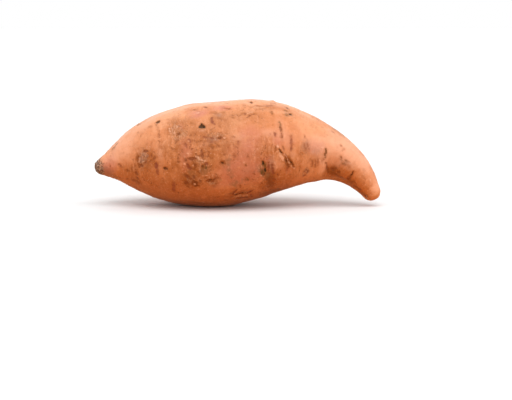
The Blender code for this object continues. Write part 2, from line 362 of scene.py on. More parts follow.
photoMarks = (
    # stem end and left shoulder
    ("pit", 1.05, 1, 0.9, (157, 121.9), (158.8, 121.4)),
    ("dash", 0.8, 0.4, 0.9, (149.4, 126.4), (150.8, 126.3)),
    ("dash", 0.35, 0.3, 0.4, (156, 124), (157.4, 127.5), (158.8, 132), (159, 137)),
    ("dash", 0.55, 0.7, 0.4, (159, 134.4), (159.2, 137)),
    ("dash", 1, 1, 0.5, (175.8, 134.2), (179.8, 133.4)),
    ("flake", 0.35, 0.7, 0.5, (169.4, 128), (169.8, 133.4)),
    ("flake", 0.35, 0.7, 0.5, (172, 127.6), (172.4, 134.6)),
    ("flake", 0.38, 0.8, 0.5, (174.6, 131), (175, 135.6)),
    ("flake", 0.3, 0.6, 0.5, (176.4, 124), (177, 128.4)),
    ("flake", 0.3, 0.6, 0.2, (184.6, 155.4), (185, 159.4)),
    ("flake", 0.35, 0.6, 0.2, (189.6, 152.6), (191.2, 153.6)),
    ("flake", 0.3, 0.6, 0.2, (184, 162.6), (184.4, 165.6)),
    ("dash", 0.8, 0.8, 0.7, (137.6, 125.2), (140.6, 123.8)),
    ("dash", 0.7, 0.7, 0.8, (115.4, 144.8), (117.2, 142.8)),
    ("dash", 0.9, 0.6, 0.9, (112.4, 149), (114.4, 147)),
    ("dash", 0.95, 0.7, 0.3, (118.8, 164.4), (120, 165.9)),
    ("dash", 0.95, 0.7, 0.5, (126.4, 171), (128.2, 171.2)),
    ("dash", 1.25, 0.9, 0.4, (135.4, 172.4), (137.2, 174)),
    ("dash", 0.8, 0.9, 0.4, (137.4, 177.6), (138.2, 178.4)),
    ("dash", 0.5, 0.5, 0.5, (131, 165), (131.4, 172)),
    ("flake", 0.45, 0.4, 0.5, (133.2, 165), (133.4, 171.5)),
    ("dash", 0.5, 0.5, 0.5, (135.2, 163.5), (135.6, 170.5)),
    # rough patch under the left shoulder
    ("cork", 1.3, 0.9, 0.3, (143.6, 153.8), (141.6, 157.6), (140, 161.4)),
    ("cork", 0.7, 0.7, 0.3, (147.4, 155.2), (146, 158.8)),
    ("flake", 0.35, 0.8, 0.2, (144.4, 152.8), (142.8, 157)),
    ("flake", 0.35, 0.8, 0.2, (146.4, 153.2), (145.2, 157.4)),
    ("flake", 0.35, 0.8, 0.2, (139.4, 158.2), (138.4, 162)),
    ("flake", 0.35, 0.7, 0.2, (141.4, 162.6), (143.8, 161.4)),
    ("dash", 1.1, 1, 0.4, (143.8, 150.6), (147.6, 151.2)),
    ("dash", 0.9, 0.9, 0.5, (138.4, 155.6), (136.8, 159.4), (137.2, 162.4)),
    ("dash", 0.8, 0.9, 0.4, (137.8, 164), (140.2, 165.4), (142.8, 165.8)),
    ("dash", 0.4, 0.4, 0.4, (148.4, 154.4), (147.8, 158.2)),
    ("dash", 0.7, 0.8, 0.4, (151, 153.8), (151.8, 157.4)),
    ("dash", 0.6, 0.9, 0.5, (137.4, 163.4), (139, 166.6), (141, 164.6), (142.6, 167.4)),
    ("dash", 0.55, 0.7, 0.5, (137.6, 154), (135.8, 160.6)),
    ("dash", 0.5, 0.7, 0.4, (146.4, 160.6), (143.4, 165)),
    ("dash", 1.05, 0.7, 0.4, (153.2, 158.8), (156, 157)),
    # left of the middle
    ("dash", 1.5, 1, 0.2, (156, 164), (156.4, 167.6)),
    ("dash", 1.2, 0.8, 0, (157, 168.6), (157.8, 173.6)),
    ("pit", 1, 0.95, 0.4, (164.3, 168.3), (166.9, 168.9)),
    ("dash", 0.6, 0.2, 0.5, (160, 147), (161.5, 148.5)),
    ("dash", 0.55, 0.6, 0.5, (171, 147.6), (173, 149.6), (176, 149.4)),
    ("dash", 1.3, 0.8, 0.1, (174, 182.6), (173.6, 190.6)),
    ("dash", 0.5, 0.4, 0.2, (163, 178), (163.4, 181)),
    ("dash", 0.7, 0.8, 0.1, (185.2, 143.4), (186.4, 147.2)),
    ("dash", 0.55, 0.8, 0.1, (186.8, 140.2), (189.6, 139), (191, 141.4), (189, 143.4)),
    ("flake", 0.55, 0.7, 0, (188.4, 141.4), (189.2, 142)),
    # top, left of the middle
    ("pit", 1.15, 1, 1, (199.4, 127), (204.2, 127)),
    ("pit", 1.1, 1, 1, (200.8, 125.8), (203.2, 125.8)),
    ("pit", 0.9, 1, 1, (201.9, 123.9), (201.8, 126.6)),
    ("dash", 0.9, 1, 0.4, (204.2, 107.2), (206.8, 107.6)),
    ("flake", 0.75, 0.7, 0.8, (196.6, 113.6), (199.2, 113.2)),
    ("dash", 0.75, 0.7, 0.4, (193.2, 110.1), (195.8, 110)),
    ("dash", 0.6, 0.3, 1, (192.6, 123.2), (194.2, 124.2)),
    ("dash", 0.95, 0.9, 0.25, (211, 117.8), (211.8, 121.2), (214.2, 124.4)),
    ("dash", 0.4, 0.3, 0.5, (213, 118.2), (217.6, 118.4), (222.4, 119.2)),
    ("dash", 0.7, 0.2, 0.6, (211.6, 112.6), (215.8, 113.4)),
    ("dash", 0.5, 0.7, 0.5, (223.2, 108.4), (229.6, 109.2)),
    ("dash", 0.45, 0.7, 0.5, (223, 112.7), (223.5, 112.9)),
    ("dash", 0.4, 0.6, 0.5, (232.4, 117.6), (233.6, 118.2)),
    ("dash", 0.8, 0.8, 0.3, (244.8, 113.8), (245.2, 114.8)),
    ("dash", 0.45, 0.8, 0.4, (246.6, 117.7), (250.2, 115.8), (254.6, 114.3)),
    ("flake", 0.8, 0.8, 0.5, (246.8, 115), (249.6, 113.6), (252, 112.8)),
    ("pit", 0.9, 0.9, 0.4, (250.6, 102.2), (251.8, 103.6)),
    ("flake", 0.4, 0.5, 0.5, (249.8, 101.4), (253.8, 102)),
    ("dash", 0.4, 0.5, 0.5, (255.4, 106), (262.4, 106.4)),
    ("dash", 0.35, 0.4, 0.5, (256, 109.8), (265, 109.4)),
    # grey streak at the left of the middle
    ("dash", 0.6, 0.7, 0.3, (202.8, 136.4), (206, 137.6), (213.4, 138.2)),
    ("dash", 0.5, 0.5, 0.2, (207, 141.2), (215, 141.8)),
    ("pit", 0.6, 0.6, 0.4, (218.8, 137.8), (220.2, 138.4)),
    ("dash", 1.2, 0.7, 0.3, (219, 138), (221.4, 138.8)),
    ("flake", 0.65, 0.6, 0.5, (224.4, 137.8), (225, 138)),
    ("dash", 0.6, 0.7, 0.1, (237.6, 142), (238, 143.2)),
    ("dash", 0.5, 0.5, 0.5, (232.4, 136.8), (235.2, 137.2)),
    ("flake", 0.55, 0.4, 0.5, (233.6, 135.4), (234.6, 135.6)),
    # rough cluster in the middle
    ("dash", 1, 1, 0.4, (201.4, 149.6), (202.2, 153.6), (203, 158.2)),
    ("dash", 1.1, 1, 0.4, (189.6, 158.6), (192, 159.2), (196, 158.2)),
    ("dash", 0.9, 0.9, 0.4, (185, 159), (186.6, 161)),
    ("dash", 0.8, 0.8, 0.5, (193, 162.4), (195.6, 165), (195, 168)),
    ("flake", 0.5, 0.8, 0.1, (195.6, 156.6), (198.8, 158.2)),
    ("flake", 0.55, 0.9, 0.4, (199.6, 159.4), (203, 160.4)),
    ("flake", 0.5, 0.8, 0.4, (203.4, 161.4), (206.8, 161)),
    ("flake", 0.45, 0.7, 0.4, (200.6, 164.4), (203.6, 163.6)),
    ("dash", 1, 1, 0.3, (205, 164.4), (207.2, 163)),
    ("pit", 0.5, 0.6, 0.6, (201.8, 166.2), (203.6, 166.6)),
    ("dash", 0.45, 0.7, 0.9, (202.6, 166.2), (203.2, 170.6)),
    ("dash", 0.55, 0.8, 0.9, (205.4, 165.8), (206.4, 169.8)),
    ("dash", 1.1, 1, 0.3, (187.6, 164.2), (188.6, 166.8), (190.4, 169.6)),
    ("dash", 0.6, 0.7, 0.5, (197, 170.6), (199, 173)),
    ("flake", 0.45, 0.7, 0.2, (187, 153.2), (188.6, 155)),
    ("flake", 0.4, 0.7, 0.2, (192.4, 164.2), (192.8, 165.6)),
    ("dash", 1.3, 1, 0.4, (221.6, 162.8), (224, 164)),
    ("pit", 0.55, 0.7, 0.4, (221.8, 162.8), (223.4, 163.6)),
    ("dash", 0.9, 0.8, 0.3, (234.2, 154.2), (234.5, 157.6)),
    ("dash", 0.45, 0.9, 0.5, (245.2, 164.4), (245.4, 165.8)),
    ("flake", 0.35, 0.5, 0.5, (243.8, 160.4), (244, 163.4)),
    # rings and eye low in the middle
    ("dash", 1.15, 1, 0.4, (186.2, 175.4), (188.2, 177)),
    ("dash", 0.8, 0.9, 0.4, (190, 177.4), (192, 179.4)),
    ("dash", 1.35, 1, 0.4, (185.2, 181.6), (187.4, 182.6)),
    ("dash", 0.8, 0.9, 0.4, (193.4, 176.4), (195, 178.4)),
    ("dash", 0.75, 1, 0.5, (192.2, 184), (193.6, 181.4), (196.6, 182.4), (196.6, 185.6), (193.6, 186.6)),
    ("flake", 0.55, 0.8, 0.4, (194.4, 183.8), (195, 184.2)),
    ("dash", 0.8, 0.9, 0.5, (198, 185.4), (199.4, 186.4)),
    ("dash", 0.7, 0.8, 0.5, (199.6, 180), (200.4, 182)),
    ("pit", 0.6, 0.8, 0.5, (209, 180.6), (211.2, 180.2)),
    ("dash", 1.4, 1, 0.4, (206.6, 181.4), (210.4, 180.6), (213, 181)),
    ("dash", 0.7, 0.8, 0.4, (212.6, 181), (216.2, 178.6), (218.6, 178.2)),
    ("flake", 0.5, 0.7, 0.6, (202.6, 176.4), (206.4, 175.2), (210.2, 176.6)),
    ("dash", 0.5, 0.7, 0.5, (204.4, 178.6), (207, 174.8)),
    ("dash", 0.55, 0.6, 0.5, (214.6, 173.4), (217.4, 175.2)),
    ("dash", 1.1, 0.6, 0.9, (246, 178), (247.8, 179.6)),
    # folded wrinkle on the belly; its light flakes paint the highlights on the fold
    ("dash", 0.95, 1, 0.4, (236.6, 189.8), (234.4, 191.8), (232.4, 194.6)),
    ("crack", 0.5, 1, 0.4, (233, 195.4), (236, 194.8), (240, 193.4), (246, 193.4)),
    ("dash", 0.8, 0.9, 0.4, (235, 195.2), (240, 193.6), (243.6, 193.8)),
    ("flake", 0.65, 0.9, 0.4, (236.4, 196.4), (239.8, 195.2)),
    ("flake", 0.7, 1, 0.4, (243, 195.6), (246, 195), (248, 195.4)),
    ("flake", 0.45, 0.7, 0.4, (234.6, 193.4), (236, 192.6)),
    ("dash", 0.85, 1, 0.3, (246.4, 193.6), (249.4, 192.4), (252, 190.6)),
    ("dash", 0.7, 0.9, 0.3, (250.6, 194), (251.4, 196.8)),
    ("dash", 0.8, 1, 0.4, (236.4, 197.6), (240.6, 197), (245.4, 197.4), (248.6, 197.8)),
    ("dash", 0.55, 0.6, 0.4, (240, 184.6), (240.6, 186.4)),
    ("flake", 0.8, 0.5, 0.2, (203, 202), (204.4, 202.6)),
    ("dash", 0.55, 0.5, 0.9, (223.6, 200.6), (225.5, 199.4), (227.4, 200.9)),
    # top, right of the middle
    ("dash", 0.65, 0.7, 0.7, (271.2, 112), (272, 114)),
    ("dash", 0.55, 0.7, 0.5, (266.4, 106.6), (273, 105.9)),
    ("pit", 0.55, 0.6, 0.8, (287, 107.2), (287.4, 108.4)),
    ("dash", 0.8, 0.7, 0.8, (285.6, 110.4), (287, 110.4)),
    ("pit", 0.9, 0.8, 1, (289.4, 114.4), (291.2, 113.8)),
    ("dash", 0.9, 0.5, 1, (284.8, 114.8), (288, 115.8)),
    ("dash", 0.75, 0.7, 0.9, (279.2, 122.2), (280, 126)),
    ("dash", 0.85, 0.9, 0.5, (280.2, 126.6), (281, 131.6)),
    ("dash", 0.45, 0.8, 0.3, (281.2, 131), (281.8, 136.4)),
    ("dash", 0.6, 0.9, 0.6, (281.4, 136.4), (281.8, 137.3)),
    ("dash", 0.6, 0.9, 0.2, (275, 133.2), (275.2, 136)),
    ("dash", 0.65, 0.8, 0.1, (291, 136), (291.3, 143), (291.2, 150.4)),
    ("dash", 0.5, 0.8, 0.4, (304.6, 136.2), (304.8, 137)),
    # split scar with raised lips; the light flakes along the lips also paint their highlight
    ("crack", 0.55, 1, 0.5, (278.8, 149.4), (280.2, 151.2), (281.6, 153)),
    ("dash", 0.5, 0.9, 0.3, (281.8, 152.8), (283, 153.8)),
    ("dash", 0.5, 0.9, 0.3, (283.4, 155.6), (284.4, 156.6)),
    ("dash", 0.5, 0.9, 0.3, (284.8, 154.4), (286, 155.6)),
    ("dash", 0.85, 1, 0.4, (285.2, 157), (286.8, 159)),
    ("dash", 0.5, 0.9, 0.3, (287, 156.4), (288.2, 157.8)),
    ("flake", 0.5, 1, 0.5, (283.2, 154.2), (284.2, 155.2)),
    ("flake", 0.5, 1, 0.5, (285.4, 156.4), (286.6, 157.6)),
    ("dash", 1.05, 1, 0.4, (284.6, 157.4), (285.6, 160.6), (287.2, 163.8), (289, 166.8)),
    ("dash", 1.15, 1, 0.4, (288.2, 158.6), (290.4, 161.8), (292.4, 165.2), (293.8, 167.6)),
    ("dash", 0.5, 0.8, 0.3, (286.8, 161), (289.4, 161)),
    ("dash", 0.5, 0.8, 0.3, (289, 164.4), (291.4, 163.8)),
    ("crack", 0.32, 0.7, 0.5, (285.6, 159.4), (287, 163.2)),
    ("crack", 0.32, 0.7, 0.5, (291, 161.6), (293, 164.8)),
    ("flake", 0.62, 1, 0.5, (287.2, 159.4), (288.2, 160.6)),
    ("flake", 0.62, 1, 0.5, (288.8, 162.2), (290, 163.6)),
    ("flake", 0.6, 1, 0.5, (290.8, 165.4), (291.6, 166.8)),
    ("flake", 0.65, 1, 0.5, (292.8, 167.4), (294.4, 168.8)),
    ("flake", 0.9, 1, 0.5, (279, 153.8), (281.4, 157), (283.8, 160.8)),
    ("dash", 0.55, 0.6, 0.3, (287, 165.6), (287.2, 172.2)),
    ("flake", 1, 0.5, 0.5, (277.6, 152.2), (280.6, 155.4)),
    ("flake", 0.85, 1, 0.5, (277.2, 145.6), (278, 149)),
    ("dash", 0.45, 0.9, 0.5, (275.6, 147.2), (275.4, 150.6)),
    ("dash", 0.4, 0.7, 0.3, (283, 146), (283.2, 150.6)),
    # green-black cluster right of the middle
    ("pit", 0.5, 0.9, 1, (263.2, 161.6), (263.8, 165)),
    ("dash", 1, 0.9, 1, (263, 162.6), (265.2, 168), (264.8, 174)),
    ("pit", 0.65, 1, 0.9, (265.2, 168.6), (265.6, 172.4)),
    ("dash", 0.5, 0.7, 1, (260.2, 166.2), (260.8, 173.4)),
    ("dash", 0.65, 1, 1, (262.2, 170.2), (262.8, 176)),
    ("flake", 0.35, 0.5, 0.5, (258.4, 165.6), (259, 169)),
    ("flake", 0.35, 0.5, 0.5, (261.4, 165.4), (261.8, 168.2)),
    ("flake", 0.35, 0.5, 0.5, (259.4, 174.4), (262, 176.4)),
    ("pit", 0.55, 0.8, 1, (264.2, 174.2), (265.2, 175.6)),
    ("dash", 0.6, 0.9, 0.2, (268.4, 163.2), (269, 168.4), (268.6, 172.6)),
    ("dash", 0.85, 0.9, 0.3, (272.2, 164.4), (272.6, 168.6), (273.6, 174.4)),
    ("flake", 0.4, 0.7, 0.3, (274.4, 162.4), (275.8, 165.4)),
    ("flake", 0.35, 0.6, 0.3, (276.4, 166.4), (276.8, 169.4)),
    ("flake", 0.35, 0.6, 0.3, (270.6, 166), (270.8, 169)),
    ("dash", 0.6, 0.7, 0.3, (277.6, 173.8), (278.4, 175.4)),
    ("dash", 1, 0.7, 0.4, (271.6, 179), (274.4, 180)),
    # root of the tail; the light flake at 323 paints the highlight along the ridge
    ("dash", 0.72, 1, 0.75, (325.8, 149.2), (325.6, 153.4), (325.2, 157.4)),
    ("dash", 0.4, 0.4, 0.3, (324.2, 158), (322.2, 160)),
    ("flake", 0.45, 0.6, 0.2, (320.6, 146.6), (322.6, 149)),
    ("flake", 0.4, 0.5, 0.4, (323.4, 161), (323, 167)),
    ("dash", 0.42, 0.6, 0.3, (312, 160.4), (312.4, 166.2)),
    ("dash", 0.42, 0.6, 0.3, (315, 159.8), (315.4, 166.8)),
    ("dash", 0.42, 0.6, 0.3, (317.8, 159), (318, 165.4)),
    ("flake", 0.45, 0.5, 0.5, (319.6, 159.6), (320.2, 164)),
    ("dash", 0.55, 0.8, 0.3, (304, 171.8), (306, 169.6), (308.4, 170.6), (307, 173)),
    ("dash", 0.6, 1, 0.3, (303.6, 175.6), (305.6, 174.4)),
    ("dash", 0.5, 0.5, 0.4, (300, 166.8), (300.8, 169.2)),
    ("dash", 0.4, 0.3, 0.5, (299, 154.6), (301, 152.4), (303, 154.6), (301.2, 156.4)),
    ("dash", 0.4, 0.5, 0.1, (304.2, 144), (306.4, 150.2)),
    ("dash", 0.4, 0.5, 0.1, (307.6, 143.6), (308.6, 149.6)),
    ("dash", 0.55, 0.8, 0.5, (325.2, 162.4), (327.2, 164.8)),
    # tail
    ("dash", 1.3, 0.9, 0.4, (332.2, 171), (333.8, 171.4)),
    ("dash", 1, 0.8, 0.4, (337.2, 172.4), (338.4, 172.8)),
    ("dash", 0.8, 0.8, 0.5, (326.4, 165.6), (327.4, 169), (328.2, 173.6)),
    ("dash", 0.5, 0.5, 0.7, (340.6, 157), (341.6, 158.2)),
    ("dash", 0.5, 0.3, 0.9, (345.6, 160.4), (347.2, 161.4)),
    ("dash", 0.5, 0.3, 0.8, (342.6, 163.8), (344.2, 164.6)),
    ("dash", 0.5, 0.3, 0.9, (348, 164.8), (349.2, 166.2)),
    ("crack", 0.4, 0.9, 0.4, (353.4, 171.4), (352, 174), (350.4, 176.6)),
    ("dash", 1.1, 0.9, 0.4, (349.8, 177.4), (347.8, 179.4)),
    ("dash", 0.4, 0.4, 0.4, (340.8, 145.4), (341.6, 146)),
    ("dash", 0.3, 0.2, 0.4, (342.6, 150.6), (344.4, 149)),
    ("dash", 0.6, 0.4, 0, (332.4, 131.6), (333.8, 132.6)),
    ("flake", 0.5, 0.4, 0.2, (352.4, 150.2), (353.2, 151)),
    ("dash", 0.6, 0.7, 0.1, (359.6, 188.4), (361, 190.2)),
    ("dash", 0.7, 0.8, 0.3, (364.6, 195.2), (367.2, 197.2)),
    ("dash", 0.3, 0.1, 0.3, (362.6, 176), (364.8, 178.6)),
    ("flake", 0.35, 0.5, 0.5, (369.6, 178), (370.8, 184.4)),
    ("dash", 0.6, 0.8, 0.5, (356.8, 187), (358.6, 188.8)),
)

# wide soft patches of each kind: middle in the photograph, reach along and round the root in mm,
# strength
photoPatches = {
    "scuff": (
        (175.5, 127.5, 5, 9, 0.6), (181, 134, 4.5, 5, 0.7), (142.5, 158.5, 5, 6.5, 0.8),
        (213.5, 137.5, 8.5, 3.6, 0.7), (201, 163, 7, 6, 0.7), (191, 180, 7, 5, 0.6),
        (212.5, 180, 6, 4, 0.8), (263, 169, 4, 6, 0.8), (287, 162, 3.5, 5, 0.4), (241, 195, 8, 4, 0.7),
        (306, 172, 4.5, 4.5, 0.6), (345.5, 163, 6, 5, 0.55), (287, 111, 3.6, 4, 0.5),
        (252, 107, 9, 4, 0.5), (316, 163, 4, 4.5, 0.25),
    ),
    "stain": (
        (143, 158, 6, 8, 0.6), (214, 138.6, 6, 2.6, 0.45), (205, 168.5, 4.5, 4.5, 0.62),
        (196, 160, 5.5, 3.6, 0.5), (190, 180, 6, 4.6, 0.5), (262, 170, 4.4, 5.6, 0.6),
        (265, 163.5, 2.4, 2.6, 0.8), (273, 168, 2.4, 5, 0.5), (286.4, 114.2, 2.4, 2, 0.8),
        (307, 146.6, 4.2, 4.6, 0.35), (315, 151, 6, 3.4, 0.25), (346.4, 165, 4.6, 4.6, 0.5),
        (281, 128, 1.4, 5, 0.3), (217, 115, 5, 3, 0.25), (247, 179, 2.6, 2.4, 0.5),
        (105.5, 168, 4, 5, 0.4), (208, 173, 5, 4, 0.45), (238, 183, 8, 5, 0.5),
        (231, 171, 4, 14, 0.45), (268, 175, 3, 4, 0.55), (272, 163, 3, 7, 0.3), (264, 181, 4, 8, 0.4),
        (191, 171, 4, 5, 0.6), (240, 184, 5, 6, 0.3), (228, 163, 4, 8, 0.35), (152, 168, 4, 4, 0.35),
        (296, 144, 3, 5, 0.3), (224, 168, 4, 6, 0.35), (345, 161.5, 4, 4, 0.4),
    ),
    # brown skin; the ones low on the right, from 264 to 274 near the lower edge, also paint shade there
    "brown": (
        (346, 165, 6, 5, 0.6), (145, 158, 9, 9, 0.8), (136, 172, 7, 6, 0.6), (125, 169, 6, 5, 0.4),
        (197, 166, 9, 9, 0.7), (190, 180, 8, 5, 0.7), (213, 181, 6, 4, 0.6), (214, 140, 10, 7, 0.5),
        (175, 145, 7, 6, 0.5), (271, 182, 5, 8, 0.9), (332.5, 171, 6.5, 5, 0.7), (348, 178, 5, 4, 0.9),
        (361, 191, 6, 4, 0.7), (288, 164, 3, 4, 0.3), (241, 193, 9, 4, 0.7), (265, 152, 6, 8, 0.4),
        (219, 155, 8, 7, 0.5), (215, 150, 20, 13, 0.55), (170, 156, 15, 14, 0.45),
        (236, 125, 10, 8, 0.25), (243, 168, 12, 12, 0.25), (257, 153, 11, 9, 0.45),
        (274, 188, 13, 6, 0.8), (215, 198, 26, 5, 0.3), (157, 188, 16, 5, 0.3), (330, 174, 8, 4, 0.6),
        (348, 184, 8, 4, 0.5), (197, 136, 14, 11, 0.55), (188, 150, 14, 12, 0.5),
        (221, 122, 7, 8, 0.55), (180, 126, 9, 9, 0.45), (237, 111, 12, 5, 0.35), (232, 147, 7, 6, 0.6),
        (268, 139, 6, 5, 0.4), (184, 120, 5, 5, 0.35), (355, 186, 9, 3.6, 0.8), (279, 107, 11, 6, 0.5),
        (149, 141, 6, 5, 0.1), (172, 120, 5, 4, 0.5), (219, 114, 6, 4, 0.5), (250, 115, 9, 3, 0.35),
        (268, 108, 6, 3, 0.4), (304, 152, 5, 4, 0.5), (202, 156, 9, 5, 0.8), (221, 147.5, 6, 5, 0.75),
        (184, 162, 5, 6, 0.3), (234, 153, 5, 5, 0.5), (208, 138, 5, 3, 0.15), (268, 177, 4, 5, 0.8),
        (108, 163, 4, 4, 0.4), (172, 174, 6, 5, 0.3), (250, 183, 7, 3.6, 0.35),
        (288, 162, 4, 4.6, 0.5), (192, 121, 4, 4, 0.45), (172, 129, 5, 6, 0.45),
        (232, 150, 5, 4, 0.45), (256, 156, 5, 4, 0.5), (270, 108, 7, 4, 0.3), (292, 114, 5, 4, 0.35),
        (136, 147, 5, 5, 0.3), (273, 154, 4.6, 5, 0.5), (112, 150, 4, 4, 0.3), (320, 153, 4, 5, 0.4),
        (192, 174, 4, 3, 0.25), (201, 156, 5, 4, 0.35), (256, 119, 6, 5, 0.4), (264, 182, 5, 9, 0.9),
        (240, 117, 5, 5, 0.4), (232, 126, 4, 8, 0.12), (344, 163, 4, 5, 0.5), (368, 189, 4, 5, 0.5),
        (112, 150, 4, 4, 0.3), (176, 156, 4, 4, 0.35), (200, 155, 4, 3, 0.3), (320, 157, 4, 4, 0.35),
        (312, 169, 4, 4, 0.35),
    ),
    "rosy": (
        (243, 165, 15, 17, 0.95), (186, 154, 5, 14, 0.9), (256, 171, 5, 8, 0.9),
        (108, 168, 3.6, 3.4, 0.6), (200, 114, 6, 4, 0.5), (314, 149, 6, 4.5, 0.5),
        (180.5, 126, 2.6, 4, 0.6), (273, 168, 5, 6, 0.5), (277, 141, 4, 7, 0.4), (225, 108, 9, 5, 0.6),
        (196, 114, 8, 5, 0.6), (317, 148, 7, 5, 0.5), (230, 178, 14, 9, 0.5), (108, 162, 5, 5, 0.7),
        (260, 135, 18, 9, 0.35), (294, 135, 10, 8, 0.25), (214, 139, 6, 3, 0.4), (268, 162, 4, 4, 0.4),
        (112, 165, 6, 6, 0.5), (112, 151, 4, 4, 0.3), (160, 168, 5, 5, 0.35), (288, 169, 4, 4, 0.35),
        (268, 165, 4, 5, 0.5), (289, 146, 5, 7, 0.3), (288, 169, 4, 4, 0.4),
    ),
    # paler skin, and painted highlight: the thin ones along the top edge and the narrow one on the
    # tail's ridge at 323, 167
    "paleAndHighlight": (
        (115, 155, 6, 6, 0.5), (337, 145, 11, 9, 0.8), (200, 125, 4, 3, 0.3),
        (203, 129.6, 3.4, 1.6, 0.5), (251, 113, 4, 1.6, 0.3), (150, 146, 12, 6, 0.25),
        (128, 150, 12, 8, 0.5), (305, 128, 14, 10, 0.25), (357, 156, 9, 7, 0.35),
        (128, 140, 10, 5, 0.6), (157, 116, 12, 4, 0.5), (205, 104, 16, 4, 0.5), (332, 132, 12, 4, 0.5),
        (274, 166, 2, 2.4, 0.4), (115, 152, 10, 8, 0.8), (118, 143, 10, 5, 0.8),
        (140, 127, 12, 5, 0.7), (350, 146, 12, 8, 0.8), (345, 155, 9, 7, 0.5), (366, 168, 8, 6, 0.55),
        (374, 182, 7, 6, 0.5), (318, 144, 9, 8, 0.6), (322, 158, 6, 8, 0.5), (344, 164, 8, 4, 0.4),
        (118, 134, 10, 4, 0.7), (208, 126, 5, 4, 0.25), (323, 167, 1.8, 8, 0.9), (284, 134, 8, 7, 0.5),
        (343, 154, 7, 6, 0.4), (378, 186, 3, 7, 0.6), (243, 181, 9, 5, 0.3), (375, 190, 4, 5, 0.4),
        (293, 155, 3, 3.4, 0.7), (280, 164, 3.6, 5, 0.6), (305, 139, 6, 5, 0.4), (317, 148, 5, 5, 0.6),
        (160, 154, 4, 6, 0.5), (160, 168, 3, 4, 0.3), (147, 137, 5, 6, 0.15), (233, 138, 5, 4, 0.4),
        (280, 155, 3, 3.4, 0.2), (224, 185, 7, 4, 0.35), (166, 112, 16, 3, 0.4),
        (150, 121, 8, 7, 0.35), (184, 120, 5, 3.4, 0.3), (207, 144, 4, 3, 0.35), (280, 120, 4, 4, 0.3),
        (267, 131, 5, 4, 0.25), (245, 168, 5, 6, 0.3), (337, 167, 4, 3, 0.35), (296, 180, 5, 4, 0.4),
        (180, 109, 12, 4, 0.6), (153, 119, 8, 4, 0.4), (307, 115, 8, 4, 0.5), (360, 155, 7, 5, 0.6),
        (104, 161, 4, 3, 0.4), (268, 150, 4, 4, 0.35), (256, 186, 5, 6, 0.35), (289, 147, 4, 7, 0.35),
        (366, 161, 5, 9, 0.75), (312, 143, 5, 4, 0.45), (336, 162, 3.6, 6, 0.75),
        (216, 174, 5, 4, 0.4), (143, 130, 8, 5, 0.15), (187, 107, 8, 3, 0.4), (268, 132, 6, 4, 0.35),
        (281, 126, 4, 4, 0.3), (240, 138, 4, 4, 0.35), (200, 144, 4, 4, 0.35),
    ),
    # dark dirt, and painted shade along the lower edge and in the hollows under the tail
    "dirtAndShade": (
        (332, 172.5, 4.4, 4.2, 0.9), (340, 177, 6, 3, 0.8), (352, 184.5, 5, 3, 0.6),
        (361, 192.5, 5, 2.6, 0.7), (270.5, 183, 4.6, 9, 1), (274, 191, 12, 5, 1),
        (138, 182, 14, 3, 0.8), (200, 203, 30, 3, 0.5), (288, 161.5, 2.4, 4, 0.8),
        (198, 172, 8, 8, 0.45), (190, 182, 8, 5, 0.5), (214, 184, 6, 3, 0.6), (147, 160, 6, 7, 0.45),
        (236, 193, 7, 3, 0.6), (306, 173, 5, 3.6, 0.35), (269, 176, 3.4, 4, 0.6),
        (102.4, 169.4, 1.6, 3.6, 1), (349, 179, 2.4, 2, 0.7), (203, 156, 7, 4, 0.35),
        (225, 149, 8, 5, 0.3), (353, 181.5, 3, 2.4, 0.5), (330, 170, 3, 3, 0.3),
        (128, 179, 6, 2.4, 0.35),
    ),
    # where the painted underside shade is taken back
    "underShadeLift": (
        (378, 192, 5, 10, 1), (243, 182, 14, 8, 0.4), (310, 172, 12, 9, 0.85), (322, 169, 3, 9, 0.95),
        (113, 166, 9, 8, 0.5), (160, 168, 8, 6, 0.35), (262, 170, 20, 8, 0.3), (216, 184, 12, 6, 0.4),
        (258, 187, 7, 6, 0.5), (217, 180, 5, 10, 0.4),
    ),
    "golden": (
        (366, 189, 5, 6, 0.7), (353, 180, 6, 5, 0.9), (301, 180, 6, 4, 0.5), (232, 108, 6, 4, 0.5),
        (277, 108, 9, 4, 0.6), (298, 119, 5, 5, 0.3), (306, 131, 5, 5, 0.4), (128, 180, 8, 4, 0.5),
        (345, 170, 4, 3, 0.4),
    ),
    "ashen": (
        (248, 173, 5, 8, 0.35), (216, 186, 5, 4, 0.3), (305, 147, 4, 5, 0.75),
        (315, 151.5, 5, 3.2, 0.55), (273, 166, 3, 6.5, 0.8), (260.5, 169, 3.4, 4.5, 0.6),
        (217, 115, 5, 3.5, 0.6), (213, 139.5, 7, 2.6, 0.6), (142.5, 157.5, 4.5, 5, 0.5),
        (346, 163, 4, 4, 0.5),
    ),
    "smooth": (
        (229, 150, 10, 9, 0.5), (238, 172, 13, 9, 0.5), (130, 136, 28, 14, 0.9),
        (155, 128, 10, 8, 0.6), (225, 125, 13, 10, 0.7), (255, 128, 20, 9, 0.9),
        (310, 130, 22, 12, 0.9), (350, 150, 16, 12, 0.7), (200, 118, 14, 6, 0.5),
    ),
    "streaks": (
        (266, 152, 8, 9, 0.8), (310, 150, 10, 7, 0.45), (272, 184, 8, 8, 0.5), (172, 128, 5, 7, 0.8),
        (300, 172, 14, 6, 0.4), (336, 168, 6, 5, 0.5), (130, 168, 8, 7, 0.5), (352, 176, 6, 6, 0.4),
        (346, 164, 5, 5, 0.5), (332, 168, 6, 5, 0.5),
    ),
}

